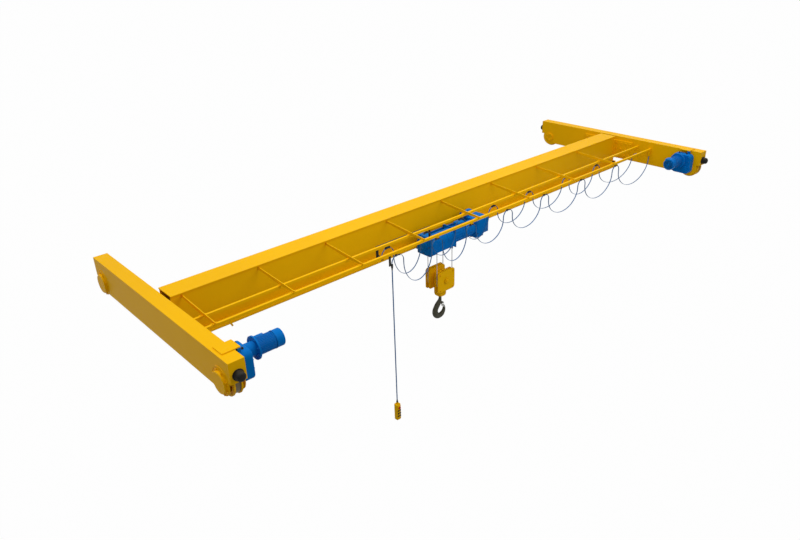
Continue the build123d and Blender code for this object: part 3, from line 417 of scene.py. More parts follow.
# %% Finishes on the CAD nodes
finish_of_slot = {
    "crane_yellow": crane_yellow,
    "drive_blue": drive_blue,
    "wheel_steel": wheel_steel,
    "black_rubber": black_rubber,
    "trolley_dark": trolley_dark,
    "cable_sheath": cable_sheath,
    "rope_steel": rope_steel,
    "hook_iron": hook_iron,
    "latch_steel": latch_steel,
    "pendant_yellow": pendant_yellow,
}
slot_of_node = {row["node"]: row["material_slot"] for row in frame["record"]["subparts"]}
for name, node in nodes.items():
    node.data.materials.clear()
    node.data.materials.append(finish_of_slot[slot_of_node[name]])
print("finishes on", len(nodes), "nodes")

# %% [markdown]
# The festoon cables hang in fourteen loops between the saddles. Each loop hangs between two bodies
# that slide apart, and each is a piece of its own. A loop is a smooth NURBS spline whose control
# points are the route of the CAD solid. A flat cable is a rounded bar in section, so the spline gets
# that bar as its bevel profile and becomes a mesh.

# %% Route points of a loop
inner_rail_y = -0.476
outer_rail_y = -0.727
inner_saddles = (3.112, 2.242, 1.290, 0.450, -0.250, -0.931, -1.627)
outer_saddles = (3.310, 2.320, 1.355, 0.485, -0.300, -0.968, -1.676)
inner_clamp_x = 4.250
outer_clamp_x = 4.385
saddle_radius = 0.100
loop_top = 0.1817
inner_loop_depths = (0.335, 0.295, 0.288, 0.276, 0.315, 0.344, 0.382)
outer_loop_depths = (0.367, 0.336, 0.309, 0.301, 0.294, 0.331, 0.382)
loop_shares = (
    (1.00, 0.00),
    (1.00, 0.17),
    (0.95, 0.39),
    (0.81, 0.63),
    (0.56, 0.86),
    (0.20, 1.00),
    (-0.20, 1.00),
    (-0.56, 0.86),
    (-0.81, 0.63),
    (-0.95, 0.39),
    (-1.00, 0.17),
    (-1.00, 0.00),
)


def loop_route(start, saddle, rail_y, depth):
    """The control points of one loop, from start on its right to the right end of the next saddle."""
    half_width = (start - saddle - saddle_radius) / 2
    middle = start - half_width
    return [(middle + out * half_width, rail_y, loop_top - down * depth) for out, down in loop_shares]


# %% A smooth line through a route
def smooth_line(name, route, steps=6):
    curve = bpy.data.curves.new(name, "CURVE")
    curve.dimensions = "3D"
    curve.resolution_u = steps
    spline = curve.splines.new("NURBS")
    spline.points.add(len(route) - 1)
    for point, spot in zip(spline.points, route):
        point.co = (*spot, 1.0)
    spline.order_u = 3
    spline.use_endpoint_u = True
    return link_object(name, curve)


def line_points(line):
    """The points that Blender computes along a curve that has no bevel, in order."""
    plain = bpy.data.meshes.new_from_object(line)
    points = [vertex.co.copy() for vertex in plain.vertices]
    bpy.data.meshes.remove(plain)
    return points


# %% The flat cable's section
cable_width = 0.016
cable_thickness = 0.006

section = bpy.data.curves.new("cable_section", "CURVE")
section.dimensions = "2D"
outline = section.splines.new("BEZIER")
outline.bezier_points.add(3)
corner = cable_thickness / 2
half_flat = cable_width / 2 - corner
handle = corner * 4 / 3
inner_handle = half_flat / 3
outer_handle = half_flat + handle
for point, (side, y, before, after) in zip(
    outline.bezier_points,
    (
        (1, -corner, inner_handle, outer_handle),
        (1, corner, outer_handle, inner_handle),
        (-1, corner, inner_handle, outer_handle),
        (-1, -corner, outer_handle, inner_handle),
    ),
):
    point.co = (side * half_flat, y, 0)
    point.handle_left_type = "FREE"
    point.handle_right_type = "FREE"
    point.handle_left = (side * before, y, 0)
    point.handle_right = (side * after, y, 0)
outline.use_cyclic_u = True
section.resolution_u = 4
section_object = link_object("cable_section", section)


# %% The loops
flat_side_tilt = pi / 2


def cable_loop(name, route, node_name):
    line = smooth_line(name + "_line", route)
    path = line_points(line)
    line.data.bevel_mode = "OBJECT"
    line.data.bevel_object = section_object
    line.data.use_fill_caps = True
    for point in line.data.splines[0].points:
        point.tilt = flat_side_tilt
    evaluated = line.evaluated_get(bpy.context.evaluated_depsgraph_get())
    mesh = bpy.data.meshes.new_from_object(evaluated)
    mesh.name = name
    bpy.data.objects.remove(line)
    loop = link_object(name, mesh)
    mesh.materials.clear()
    mesh.materials.append(cable_sheath)
    mesh.shade_smooth()
    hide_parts(node_name)
    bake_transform(loop)


# %% Both rows of loops
trolley_bodies = {
    row_name: [*(f"{row_name}_trolley_{number}" for number in range(1, 7)), f"{row_name}_leading_trolley"]
    for row_name in ("inner", "outer")
}
for row_name, rail_y, clamp_x, saddles, depths, node_name in (
    ("inner", inner_rail_y, inner_clamp_x, inner_saddles, inner_loop_depths, "hoist_supply_cable"),
    ("outer", outer_rail_y, outer_clamp_x, outer_saddles, outer_loop_depths, "pendant_supply_cable"),
):
    starts = [clamp_x, *(saddle - saddle_radius for saddle in saddles)]
    for number, depth in enumerate(depths):
        cable_loop(
            f"{row_name}_cable_loop_{number + 1}",
            loop_route(starts[number], saddles[number], rail_y, depth),
            node_name,
        )

# %% [markdown]
# The pendant's cable hangs straight, because the station on its end weighs it down. It is one
# round cable from the gland under its trolley to the gland on the station.

# %% The pendant's cable
pendant_x = outer_saddles[-1] - saddle_radius
pendant_top = 0.143
pendant_bottom = -1.955
pendant_diameter = 0.016

end_run = 0.35
pendant_middle = (pendant_top + pendant_bottom) / 2
pendant_heights = (
    pendant_top,
    pendant_top - end_run,
    pendant_middle,
    pendant_bottom + end_run,
    pendant_bottom,
)
pendant_route = [(pendant_x, outer_rail_y, height) for height in pendant_heights]
pendant_line = smooth_line("pendant_cable_round", pendant_route)
pendant_line.data.bevel_depth = pendant_diameter / 2
pendant_line.data.bevel_resolution = 5
pendant_line.data.materials.append(cable_sheath)
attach(pendant_line, "pendant")
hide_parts("pendant_cable")

# %% Tidy the helpers away
bpy.data.objects.remove(section_object)

# %% [markdown]
# Every other new piece goes through the same last steps. Its bmesh gets its normals turned outwards,
# becomes a mesh with its finish, and is told which body it rides on. Its object stays at the origin,
# because the place is already in the mesh. Edges sharper than an angle stay sharp, the rest is smooth.

# %% From a bmesh to a piece
smooth_limit = radians(35)


def make_piece(name, shape, finish, body):
    bmesh.ops.recalc_face_normals(shape, faces=shape.faces)
    mesh = bpy.data.meshes.new(name)
    shape.to_mesh(mesh)
    shape.free()
    mesh.materials.append(finish)
    mesh.shade_smooth()
    mesh.set_sharp_from_angle(angle=smooth_limit)
    piece = link_object(name, mesh)
    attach(piece, body)
    print(name, "has", len(mesh.polygons), "faces and rides on", body)
    return piece


# %% [markdown]
# Most fittings are drums, blocks and turned bodies. Three small helpers start them from Blender's own
# shapes: a cone that stands on a place and points along a direction, a cube with bevelled edges, and
# a profile that is spun round an axis.

# %% Drums, blocks and turned bodies
def seat(place, facing):
    """A matrix that puts a shape at a place, with its own Z along facing."""
    return Matrix.Translation(place) @ Vector(facing).to_track_quat("Z", "Y").to_matrix().to_4x4()


def edges_of(verts):
    return list({line for vertex in verts for line in vertex.link_edges})


def add_drum(shape, place, facing, radius, depth, end_radius=None, segments=32):
    middle = seat(place, facing) @ Matrix.Translation((0, 0, depth / 2))
    return bmesh.ops.create_cone(
        shape,
        cap_ends=True,
        segments=segments,
        radius1=radius,
        radius2=radius if end_radius is None else end_radius,
        depth=depth,
        matrix=middle,
    )["verts"]


def add_block(shape, low, high, edge=0.0, turned=None):
    low, high = Vector(low), Vector(high)
    place = Matrix.Translation((low + high) / 2)
    if turned:
        place = place @ turned
    size = Matrix.Diagonal((*(high - low), 1.0))
    verts = bmesh.ops.create_cube(shape, size=1.0, matrix=place @ size)["verts"]
    if edge:
        lines = edges_of(verts)
        bmesh.ops.bevel(shape, geom=lines, offset=edge, affect="EDGES", segments=2, profile=0.5, material=-1)


def add_boxes(shape, boxes, origin=(0, 0, 0)):
    """Blocks from rows of low corner, high corner and bevelled edge, all measured from an origin."""
    origin = Vector(origin)
    for low, high, edge in boxes:
        add_block(shape, origin + Vector(low), origin + Vector(high), edge)


weld_distance = 0.000001


def add_turned(shape, place, facing, profile, segments=32):
    """Spins a profile of radius and height round the line that stands on place along facing."""
    turn = seat(place, facing)
    points = [shape.verts.new(turn @ Vector((radius, 0, height))) for radius, height in profile]
    runs = [shape.edges.new(pair) for pair in zip(points, points[1:])]
    line = points + runs
    bmesh.ops.spin(shape, geom=line, cent=place, axis=facing, angle=2 * pi, steps=segments, use_merge=True)
    bmesh.ops.remove_doubles(shape, verts=shape.verts, dist=weld_distance)


# %% [markdown]
# A bolt is a washer and a six-sided head whose top edge is cut back. It is the same everywhere, so
# one helper adds it to any shape, and whole rings of bolts are one piece.

# %% Bolts
def add_bolt(shape, place, facing, washer=0.012):
    place, facing = Vector(place), Vector(facing)
    head = washer * 0.78
    washer_depth = washer * 0.18
    head_depth = washer * 0.62
    add_drum(shape, place, facing, washer, washer_depth, segments=20)
    add_drum(shape, place + facing * washer_depth, facing, head, head_depth, segments=6)
    top = place + facing * (washer_depth + head_depth)
    add_drum(shape, top, facing, head, washer * 0.12, end_radius=head * 0.84, segments=6)


def add_bolt_ring(shape, place, facing, radius, count, washer=0.012):
    turn = seat(place, facing)
    for number in range(count):
        angle = 2 * pi * (number + 0.5) / count
        add_bolt(shape, turn @ Vector((radius * cos(angle), radius * sin(angle), 0)), facing, washer)


# %% [markdown]
# The four rope falls carry the hook block, so they are part of the machine and not a loose cord. A
# wire rope shows six strands that wind round each other. One ring with six lobes is pushed along the
# rope step by step and twisted a little at each step, which gives the strands for a few faces.

# %% A twisted rope
rope_radius = 0.0055
rope_strands = 6
valley_share = 0.70
flank_share = 0.93


def rope_ring(shape, place, facing, radius=rope_radius, strands=rope_strands):
    seated = seat(place, facing)
    ring = bmesh.ops.create_circle(shape, segments=strands * 4, radius=radius, matrix=seated)["verts"]
    for number, vertex in enumerate(ring):
        share = (valley_share, flank_share, 1.0, flank_share)[number % 4]
        vertex.co = Vector(place).lerp(vertex.co, share)
    return edges_of(ring)


def push_ring(shape, ring, place, along, move, steps, twist=0.0):
    """Extrudes a ring step by step. Each step turns it about its own middle and moves it."""
    place, along = Vector(place), Vector(along)
    for _ in range(steps):
        made = bmesh.ops.extrude_edge_only(shape, edges=ring)["geom"]
        verts = [part for part in made if isinstance(part, bmesh.types.BMVert)]
        known = set(verts)
        lines = [part for part in made if isinstance(part, bmesh.types.BMEdge)]
        ring = [line for line in lines if known.issuperset(line.verts)]
        bmesh.ops.rotate(shape, verts=verts, cent=place, matrix=Matrix.Rotation(twist, 3, along))
        bmesh.ops.transform(shape, verts=verts, matrix=move)
        place = move @ place
        along = move.to_3x3() @ along
    return ring


def turn_about(middle, angle):
    middle = Vector(middle)
    return Matrix.Translation(middle) @ Matrix.Rotation(angle, 4, "Y") @ Matrix.Translation(-middle)


# %% The rope falls
block_x = -0.490
block_y = -0.300
sheave_z = -0.626
fall_spread = 0.1535
sheave_offset = 0.092
rope_guide_z = -0.132
rope_hidden_length = 0.016
fall_steps = 90
fall_twist = radians(20)

falls = bmesh.new()
fall_height = rope_guide_z + rope_hidden_length - sheave_z
rise = Matrix.Translation((0, 0, fall_height / fall_steps))
for across in (-fall_spread, fall_spread):
    for along in (-sheave_offset, sheave_offset):
        foot = (block_x + across, block_y + along, sheave_z)
        push_ring(falls, rope_ring(falls, foot, (0, 0, 1)), foot, (0, 0, 1), rise, fall_steps, fall_twist)
rope_falls = make_piece("rope_falls", falls, rope_steel, "hoist")
rope_falls.parent = None
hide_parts("hoist_ropes")
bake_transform(rope_falls)

# %% The rope round the sheaves
wrap_steps = 64
wraps = bmesh.new()
for along in (-sheave_offset, sheave_offset):
    middle = Vector((block_x, block_y + along, sheave_z))
    turn = turn_about(middle, -pi / wrap_steps)
    foot = middle - Vector((fall_spread, 0, 0))
    push_ring(wraps, rope_ring(wraps, foot, (0, 0, -1)), foot, (0, 0, -1), turn, wrap_steps, fall_twist)
make_piece("rope_wraps", wraps, rope_steel, "hook_block")

# %% [markdown]
# The hook is forged: a round shank that swells into a bowl, thickest under the load, and runs out in
# a blunt tip. Sections are set along its middle line, each a circle stretched to its own width and
# depth. Bridging them in order gives the skin, and a subdivision surface rounds it.

# %% The forged hook
throat = Vector((block_x, block_y, -1.150))
throat_radius = 0.060
bowl_radius = 0.130
bowl_middle = Vector((-0.028, -0.014))
bowl_depth = 0.038
neck_sections = (
    (0.000, 0.290, 180, 0.0205, 0.0205),
    (0.000, 0.200, 180, 0.0205, 0.0205),
    (-0.004, 0.170, 172, 0.028, 0.024),
    (-0.016, 0.142, 160, 0.040, 0.029),
    (-0.036, 0.116, 148, 0.046, 0.033),
    (-0.064, 0.086, 140, 0.047, 0.036),
)
tip_sections = ((0.079, 0.026, 379, 0.016, 0.018), (0.078, 0.038, 385, 0.009, 0.011))


def bowl_section(heading):
    """The section between the throat and the bowl's outer circle, along one heading from the throat."""
    out = Vector((cos(radians(heading)), sin(radians(heading))))
    reach = out.dot(bowl_middle)
    outer = reach + (reach**2 + bowl_radius**2 - bowl_middle.length_squared) ** 0.5
    middle = out * (throat_radius + outer) / 2
    half_width = (outer - throat_radius) / 2
    return (middle.x, middle.y, heading, half_width, min(bowl_depth, half_width * 1.1))


bowl_sections = [bowl_section(heading) for heading in range(156, 366, 15)]
hook_sections = (*neck_sections, *bowl_sections, *tip_sections)


def section_place(x, z, heading, half_width, half_depth):
    outward = Vector((cos(radians(heading)), 0, sin(radians(heading))))
    sideways = Vector((0, 1, 0))
    along = outward.cross(sideways)
    turn = Matrix((outward * half_width, sideways * half_depth, along)).transposed().to_4x4()
    return Matrix.Translation(throat + Vector((x, 0, z))) @ turn


hook_shape = bmesh.new()
rings = []
for section_sizes in hook_sections:
    placed = section_place(*section_sizes)
    ring = bmesh.ops.create_circle(hook_shape, segments=16, radius=1.0, matrix=placed)["verts"]
    rings.append(edges_of(ring))
for before, after in zip(rings, rings[1:]):
    bmesh.ops.bridge_loops(hook_shape, edges=before + after)
for ring in (rings[0], rings[-1]):
    bmesh.ops.edgeloop_fill(hook_shape, edges=ring)
forged_hook = make_piece("forged_hook", hook_shape, hook_iron, "hook")
for polygon in forged_hook.data.polygons:
    polygon.use_smooth = True
rounding = forged_hook.modifiers.new("rounding", "SUBSURF")
rounding.levels = 2
rounding.render_levels = 2
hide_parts("load_hook")

# %% The hook's nut and the latch's ear
crosshead_bottom = -0.905
nut_rise = 0.0485
nut_radius = 0.037
nut_depth = 0.029
ear = throat + Vector((0.038, 0, 0.104))
ear_radius = 0.014
ear_half_width = 0.020

fittings = bmesh.new()
nut_place = (block_x, block_y, crosshead_bottom + nut_rise)
add_drum(fittings, nut_place, (0, 0, 1), nut_radius, nut_depth, segments=6)
add_drum(fittings, ear - Vector((0, ear_half_width, 0)), (0, 1, 0), ear_radius, 2 * ear_half_width)
ear_block_half_width = ear_half_width * 0.9
ear_block = ((-0.034, -ear_block_half_width, -ear_radius), (0.002, ear_block_half_width, ear_radius), 0.004)
add_boxes(fittings, (ear_block,), ear)
make_piece("hook_fittings", fittings, hook_iron, "hook")

# %% The latch's springs
spring_radius = 0.0085
spring_wire = 0.0013
spring_turns = 4
spring_length = 0.0085
steps_a_turn = 16

springs = bmesh.new()
for side in (-1, 1):
    start = ear + Vector((spring_radius, side * (ear_half_width + 0.0008), 0))
    seated = seat(start, (0, 0, 1))
    ring = edges_of(bmesh.ops.create_circle(springs, segments=8, radius=spring_wire, matrix=seated)["verts"])
    climb = Matrix.Translation((0, side * spring_length / spring_turns / steps_a_turn, 0))
    turn = Matrix.Rotation(2 * pi / steps_a_turn, 4, "Y")
    move = Matrix.Translation(ear) @ climb @ turn @ Matrix.Translation(-ear)
    push_ring(springs, ring, start, (0, 0, 1), move, spring_turns * steps_a_turn)
make_piece("latch_springs", springs, latch_steel, "latch")

# %% [markdown]
# The hook block's covers are held by the sheaves' axle. Each sheave also has a thin guard on its inner
# side, shaped like the cover, so that the rope can't leave the groove. A guard starts as a plate whose
# four corners are rounded by a bevel of many segments.

# %% Rope guards
cover_front = -0.442
cover_back = -0.158
corner_distance = 0.128
guard_half_width = 0.168
guard_half_height = 0.160
guard_corner = 0.050

guard_faces = ((-0.369, -0.366), (-0.234, -0.231))

guards = bmesh.new()
for low_y, high_y in guard_faces:
    place = Matrix.Translation((block_x, (low_y + high_y) / 2, sheave_z))
    size = Matrix.Diagonal((2 * guard_half_width, high_y - low_y, 2 * guard_half_height, 1.0))
    verts = bmesh.ops.create_cube(guards, size=1.0, matrix=place @ size)["verts"]
    lines = edges_of(verts)
    through = [line for line in lines if abs((line.verts[0].co - line.verts[1].co).normalized().y) > 0.9]
    bmesh.ops.bevel(
        guards, geom=through, offset=guard_corner, affect="EDGES", segments=10, profile=0.5, material=-1
    )
make_piece("rope_guards", guards, crane_yellow, "hook_block")

# %% Hook block fittings
axle_profile = ((0.0, 0.016), (0.016, 0.016), (0.020, 0.012), (0.020, 0.006), (0.040, 0.006), (0.043, 0.0))
block_washer = 0.011
lock_offset = 0.060
lock_spread = 0.032
lock_rise = 0.048

block_bolts = bmesh.new()
for face_y, facing in ((cover_front, (0, -1, 0)), (cover_back, (0, 1, 0))):
    for across in (-corner_distance, corner_distance):
        for up in (-corner_distance, corner_distance):
            add_bolt(block_bolts, (block_x + across, face_y, sheave_z + up), facing, block_washer)
    add_turned(block_bolts, (block_x, face_y, sheave_z), facing, axle_profile)
for side in (-1, 1):
    for along in (-lock_spread, lock_spread):
        place = (block_x + side * lock_offset, block_y + along, crosshead_bottom + lock_rise)
        add_bolt(block_bolts, place, (side, 0, 0), block_washer)
make_piece("block_bolts", block_bolts, crane_yellow, "hook_block")

# %% [markdown]
# Sheaves are turned: a rim that holds the groove, a thinner web and a hub. The CAD solid has the rim
# and groove, so only the rim's edge and the hub's face are added here, as turned rings on the outer
# faces. They are painted like the block.

# %% Sheave faces
hub_profile = ((0.0265, 0.0), (0.0265, 0.0045), (0.048, 0.0045), (0.050, 0.003), (0.050, 0.0))
rim_profile = ((0.134, 0.0), (0.136, 0.003), (0.156, 0.003), (0.158, 0.0))
sheave_half_width = 0.020

sheave_rings = bmesh.new()
for along in (-sheave_offset, sheave_offset):
    toward = 1 if along > 0 else -1
    face = (block_x, block_y + along + toward * sheave_half_width, sheave_z)
    add_turned(sheave_rings, face, (0, toward, 0), hub_profile)
    add_turned(sheave_rings, face, (0, toward, 0), rim_profile, segments=64)
make_piece("sheave_faces", sheave_rings, crane_yellow, "hook_block")
nodes["rope_sheaves"].data.materials[0] = crane_yellow

# %% [markdown]
# Each wheel runs in bearings behind a round cover that is bolted to the carriage. The cover's flange
# is a thin ring round the cap, with eight bolts. The back wheels show their caps inside too.

# %% Bearing cover flanges
axle_y = 1.455
axle_z = 0.1575
carriage_outer = 4.588
carriage_inner = 4.412
inner_cap_face = 4.396
flange_depth = 0.006
outer_bolt_circle = 0.133
inner_bolt_circle = 0.060
flange_profile = ((0.120, 0.0), (0.120, flange_depth), (0.143, flange_depth), (0.146, 0.003), (0.146, 0.0))

flanges = bmesh.new()
cover_bolts = bmesh.new()
for side in (-1, 1):
    for end in (-1, 1):
        foot = (side * carriage_outer, end * axle_y, axle_z)
        add_turned(flanges, foot, (side, 0, 0), flange_profile, segments=64)
        face = (side * (carriage_outer + flange_depth), end * axle_y, axle_z)
        add_bolt_ring(cover_bolts, face, (side, 0, 0), outer_bolt_circle, 8)
    face = (side * inner_cap_face, axle_y, axle_z)
    add_bolt_ring(cover_bolts, face, (-side, 0, 0), inner_bolt_circle, 6)
make_piece("bearing_flanges", flanges, crane_yellow, "bridge")
make_piece("bearing_bolts", cover_bolts, crane_yellow, "bridge")

# %% [markdown]
# The travel wheels are painted like the carriages, and only their treads are bare, because they roll
# on the rails. Each tread is a thin turned band between the two flanges.

# %% Wheel treads
tread_radius = 0.1575
tread_half_width = 0.0325
wheel_middle = 4.500
band_low = tread_radius - 0.002
band_high = tread_radius + 0.0002
tread_profile = (
    (band_low, -tread_half_width),
    (band_high, -tread_half_width),
    (band_high, tread_half_width),
    (band_low, tread_half_width),
)
both_sides = ((-1, "left"), (1, "right"))
for side, side_name in both_sides:
    for end, end_name in ((-1, "front"), (1, "back")):
        wheel = f"{side_name}_{end_name}_wheel"
        tread = bmesh.new()
        add_turned(tread, (side * wheel_middle, end * axle_y, axle_z), (1, 0, 0), tread_profile, segments=96)
        make_piece(f"{wheel}_tread", tread, wheel_steel, wheel)
        nodes[wheel].data.materials[0] = crane_yellow

# %% [markdown]
# The girder hangs between wide head plates that are bolted to the carriages' inner faces. Rows of
# bolts stand on both sides of the girder. Long weld beads join webs, top plate and flange. A bead is
# a thin cone of eight sides laid in the corner.

# %% Head plate bolts
head_plate_face = 4.390
head_washer = 0.017
head_bolt_rows = (0.115, 0.225, 0.335)
head_bolt_places = (-0.335, -0.245, -0.155, -0.065, 0.310, 0.400, 0.490, 0.580)

head_bolts = bmesh.new()
for side in (-1, 1):
    for place in product((side * head_plate_face,), head_bolt_places, head_bolt_rows):
        add_bolt(head_bolts, place, (-side, 0, 0), head_washer)
make_piece("head_plate_bolts", head_bolts, crane_yellow, "bridge")

# %% Weld beads
girder_half_length = 4.370
bead_radius = 0.005
web_faces = (-0.013, 0.257)
bead_heights = (-0.075, 0.435)

beads = bmesh.new()
for face_y in web_faces:
    for height in bead_heights:
        foot = (-girder_half_length, face_y, height)
        add_drum(beads, foot, (1, 0, 0), bead_radius, 2 * girder_half_length, segments=8)
make_piece("weld_beads", beads, crane_yellow, "bridge")

# %% [markdown]
# Small stops end the ways of the moving pieces: angle plates with a rubber pad on the bottom flange
# for the hoist, and a bent stub under the outer rail for the pendant's trolley.

# %% Stops
flange_top = -0.075
stop_x = 4.300
stop_half_depth = 0.006
stop_top = 0.015
stop_spans = ((-0.130, -0.050), (0.294, 0.374))
stop_edge = 0.002
pad_z = -0.020
pad_radius = 0.026
pad_end_radius = 0.020
pad_depth = 0.035
stub_lean = radians(-24)
stub_low = (-4.062, outer_rail_y - 0.010, 0.232)
stub_high = (-4.044, outer_rail_y + 0.010, 0.312)

stops = bmesh.new()
pads = bmesh.new()
for side in (-1, 1):
    for low_y, high_y in stop_spans:
        low = (side * stop_x - stop_half_depth, low_y, flange_top)
        high = (side * stop_x + stop_half_depth, high_y, stop_top)
        add_block(stops, low, high, stop_edge)
        place = (side * (stop_x - stop_half_depth), (low_y + high_y) / 2, pad_z)
        add_drum(pads, place, (-side, 0, 0), pad_radius, pad_depth, end_radius=pad_end_radius)
add_block(stops, stub_low, stub_high, stop_edge, turned=Matrix.Rotation(stub_lean, 4, "Y"))
make_piece("travel_stops", stops, crane_yellow, "bridge")
make_piece("stop_pads", pads, black_rubber, "bridge")

# %% [markdown]
# Each arm carries the rails on small clamp plates that are bolted from above.

# %% Rail clamps
rail_top = 0.340
clamp_top = 0.345
clamp_offset = 0.022
clamp_washer = 0.008
clamp_box = ((-0.017, -0.019, rail_top), (0.017, 0.019, clamp_top), 0.001)
arm_shares = (-0.960, -0.738, -0.513, -0.280, -0.040, 0.208, 0.464, 0.722)
arm_places = [share * carriage_inner for share in arm_shares]

clamp_plates = bmesh.new()
for arm_x in arm_places:
    for rail_y in (inner_rail_y, outer_rail_y):
        for side in (-1, 1):
            clamp_x = arm_x + side * clamp_offset
            add_boxes(clamp_plates, (clamp_box,), (clamp_x, rail_y, 0))
            add_bolt(clamp_plates, (clamp_x, rail_y, clamp_top), (0, 0, 1), clamp_washer)
make_piece("rail_clamps", clamp_plates, crane_yellow, "bridge")

# %% [markdown]
# A cable trolley is light: wheels in the rail, a thin neck through its slot, and a short saddle at
# the top of the arch that the cable makes over it. The CAD solid closes the whole arch, so it is replaced
# by the saddle and by the cable itself, which is one ring of the flat section pushed round half a
# turn. The outer row's neck plates are yellow.

# %% A flat cable bent round an arc
half_turn_steps = 32


def flat_ring(shape, place, facing):
    """A rectangle of cable width along Y, with rounded corners, that faces along the cable."""
    along = Vector(facing)
    sideways = Vector((0, 1, 0))
    turn = Matrix((sideways, along.cross(sideways), along)).transposed().to_4x4()
    size = Matrix.Diagonal((cable_width / 2, cable_thickness / 2, 1.0, 1.0))
    place = Matrix.Translation(place) @ turn @ size
    ring = bmesh.ops.create_circle(shape, segments=12, radius=1.1, matrix=place)["verts"]
    return edges_of(ring)


def cable_arch(name, saddle, rail_y, body):
    arch = bmesh.new()
    middle = Vector((saddle, rail_y, loop_top))
    foot = middle - Vector((saddle_radius, 0, 0))
    ring = flat_ring(arch, foot, (0, 0, 1))
    push_ring(arch, ring, foot, (0, 0, 1), turn_about(middle, pi / half_turn_steps), half_turn_steps)
    return make_piece(name, arch, cable_sheath, body)


# %% Saddles
rail_bottom = 0.308
saddle_half_angle = radians(24)
saddle_steps = 10
saddle_half_width = 0.011
saddle_bars = ((saddle_radius - 0.0075, 0.0035), (saddle_radius + 0.0065, 0.0025))
neck_bottom = loop_top + saddle_radius + 0.007
trolley_boxes = (
    ((-0.012, -0.003, neck_bottom), (0.012, 0.003, 0.312), 0.0),
    ((-0.018, -0.006, 0.3125), (0.018, 0.006, 0.323), 0.002),
)
roller_offset = 0.020
roller_radius = 0.007
roller_z = 0.3195


def trolley_node(row_name, number):
    return f"{row_name}_leading_trolley" if number == 7 else f"{row_name}_cable_trolley_{number}"


def add_saddle(shape, saddle, rail_y):
    """A short curved bar under the cable, with a keeper over it, a neck and two pairs of rollers."""
    middle = Vector((saddle, rail_y, loop_top))
    for radius, half_depth in saddle_bars:
        low, high = radius - half_depth, radius + half_depth
        back, front = rail_y + saddle_half_width, rail_y - saddle_half_width
        corners = [(low, front), (high, front), (high, back), (low, back)]
        start = turn_about(middle, -saddle_half_angle)
        points = [shape.verts.new(start @ Vector((saddle, y, loop_top + reach))) for reach, y in corners]
        face = shape.faces.new(points)
        turned = 2 * saddle_half_angle
        bmesh.ops.spin(shape, geom=[face], cent=middle, axis=(0, 1, 0), angle=turned, steps=saddle_steps)
    add_boxes(shape, trolley_boxes, (saddle, rail_y, 0))
    for across in (-roller_offset, roller_offset):
        place = (saddle + across, rail_y - saddle_half_width, roller_z)
        add_drum(shape, place, (0, 1, 0), roller_radius, 2 * saddle_half_width, segments=20)


for row_name, rail_y, saddles in (
    ("inner", inner_rail_y, inner_saddles),
    ("outer", outer_rail_y, outer_saddles),
):
    for number, (body, saddle) in enumerate(zip(trolley_bodies[row_name], saddles), start=1):
        carrier = bmesh.new()
        add_saddle(carrier, saddle, rail_y)
        carrier_piece = make_piece(f"{body}_saddle", carrier, trolley_dark, body)
        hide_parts(trolley_node(row_name, number))
        cable_arch(f"{body}_cable", saddle, rail_y, body)

# %% Neck plates of the outer row
plate_box = ((-0.024, -0.015, 0.291), (0.024, 0.015, 0.303), 0.003)
for body, saddle in zip(trolley_bodies["outer"], outer_saddles):
    plate = bmesh.new()
    add_boxes(plate, (plate_box,), (saddle, outer_rail_y, 0))
    make_piece(f"{body}_plate", plate, crane_yellow, body)

# %% [markdown]
# At the right end both cables come level out of the carriage and turn down through a clamp block that
# hangs from the rail. The block is yellow. The cable is the same ring, pushed straight and then bent.

# %% Fixed ends of the festoons
bend_radius = 0.020
bend_steps = 12
level_run_steps = 4
end_block = ((-0.016, -0.014, 0.205), (0.016, 0.014, rail_bottom), 0.003)

blocks = bmesh.new()
fixed_ends = bmesh.new()
for rail_y, clamp_x in ((inner_rail_y, inner_clamp_x), (outer_rail_y, outer_clamp_x)):
    add_boxes(blocks, (end_block,), (clamp_x, rail_y, 0))
    foot = Vector((clamp_x, rail_y, loop_top))
    ring = flat_ring(fixed_ends, foot, (0, 0, 1))
    middle = foot + Vector((bend_radius, 0, 0))
    ring = push_ring(fixed_ends, ring, foot, (0, 0, 1), turn_about(middle, pi / 2 / bend_steps), bend_steps)
    rest = carriage_inner - clamp_x - bend_radius
    step = Matrix.Translation((rest / level_run_steps, 0, 0))
    push_ring(fixed_ends, ring, middle + Vector((0, 0, bend_radius)), (1, 0, 0), step, level_run_steps)
fixed_piece = make_piece("festoon_fixed_ends", fixed_ends, cable_sheath, "bridge")
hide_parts("festoon_end_clamps")
make_piece("festoon_end_blocks", blocks, crane_yellow, "bridge")

# %% [markdown]
# Each travel drive is a gearcase with a seam flange, cover bolts, an oil plug and a vent, and a motor
# with cooling fins. Fins start as a many-sided drum: every second side is extruded outwards.

# %% Cooling fins
def add_fins(shape, place, facing, radius, depth, fins, fin_height):
    verts = add_drum(shape, place, facing, radius, depth, segments=2 * fins)
    sides = {face for vertex in verts for face in vertex.link_faces if len(face.verts) == 4}
    turn = seat(place, facing).inverted()
    second = []
    for face in sides:
        spot = turn @ face.calc_center_median()
        number = int((Vector((spot.x, spot.y)).angle_signed(Vector((1, 0)), 0.0) % (2 * pi)) / (pi / fins))
        if number % 2:
            second.append(face)
    grown = bmesh.ops.extrude_discrete_faces(shape, faces=second)["faces"]
    middle = Vector(place)
    axis = Vector(facing)
    for face in grown:
        spot = face.calc_center_median() - middle
        outward = (spot - axis * spot.dot(axis)).normalized()
        bmesh.ops.translate(shape, verts=list(face.verts), vec=outward * fin_height)


# %% Travel motors
motor_y = -1.377
motor_z = 0.3075
body_start = 4.148
body_end = 3.942
cover_end = 3.852

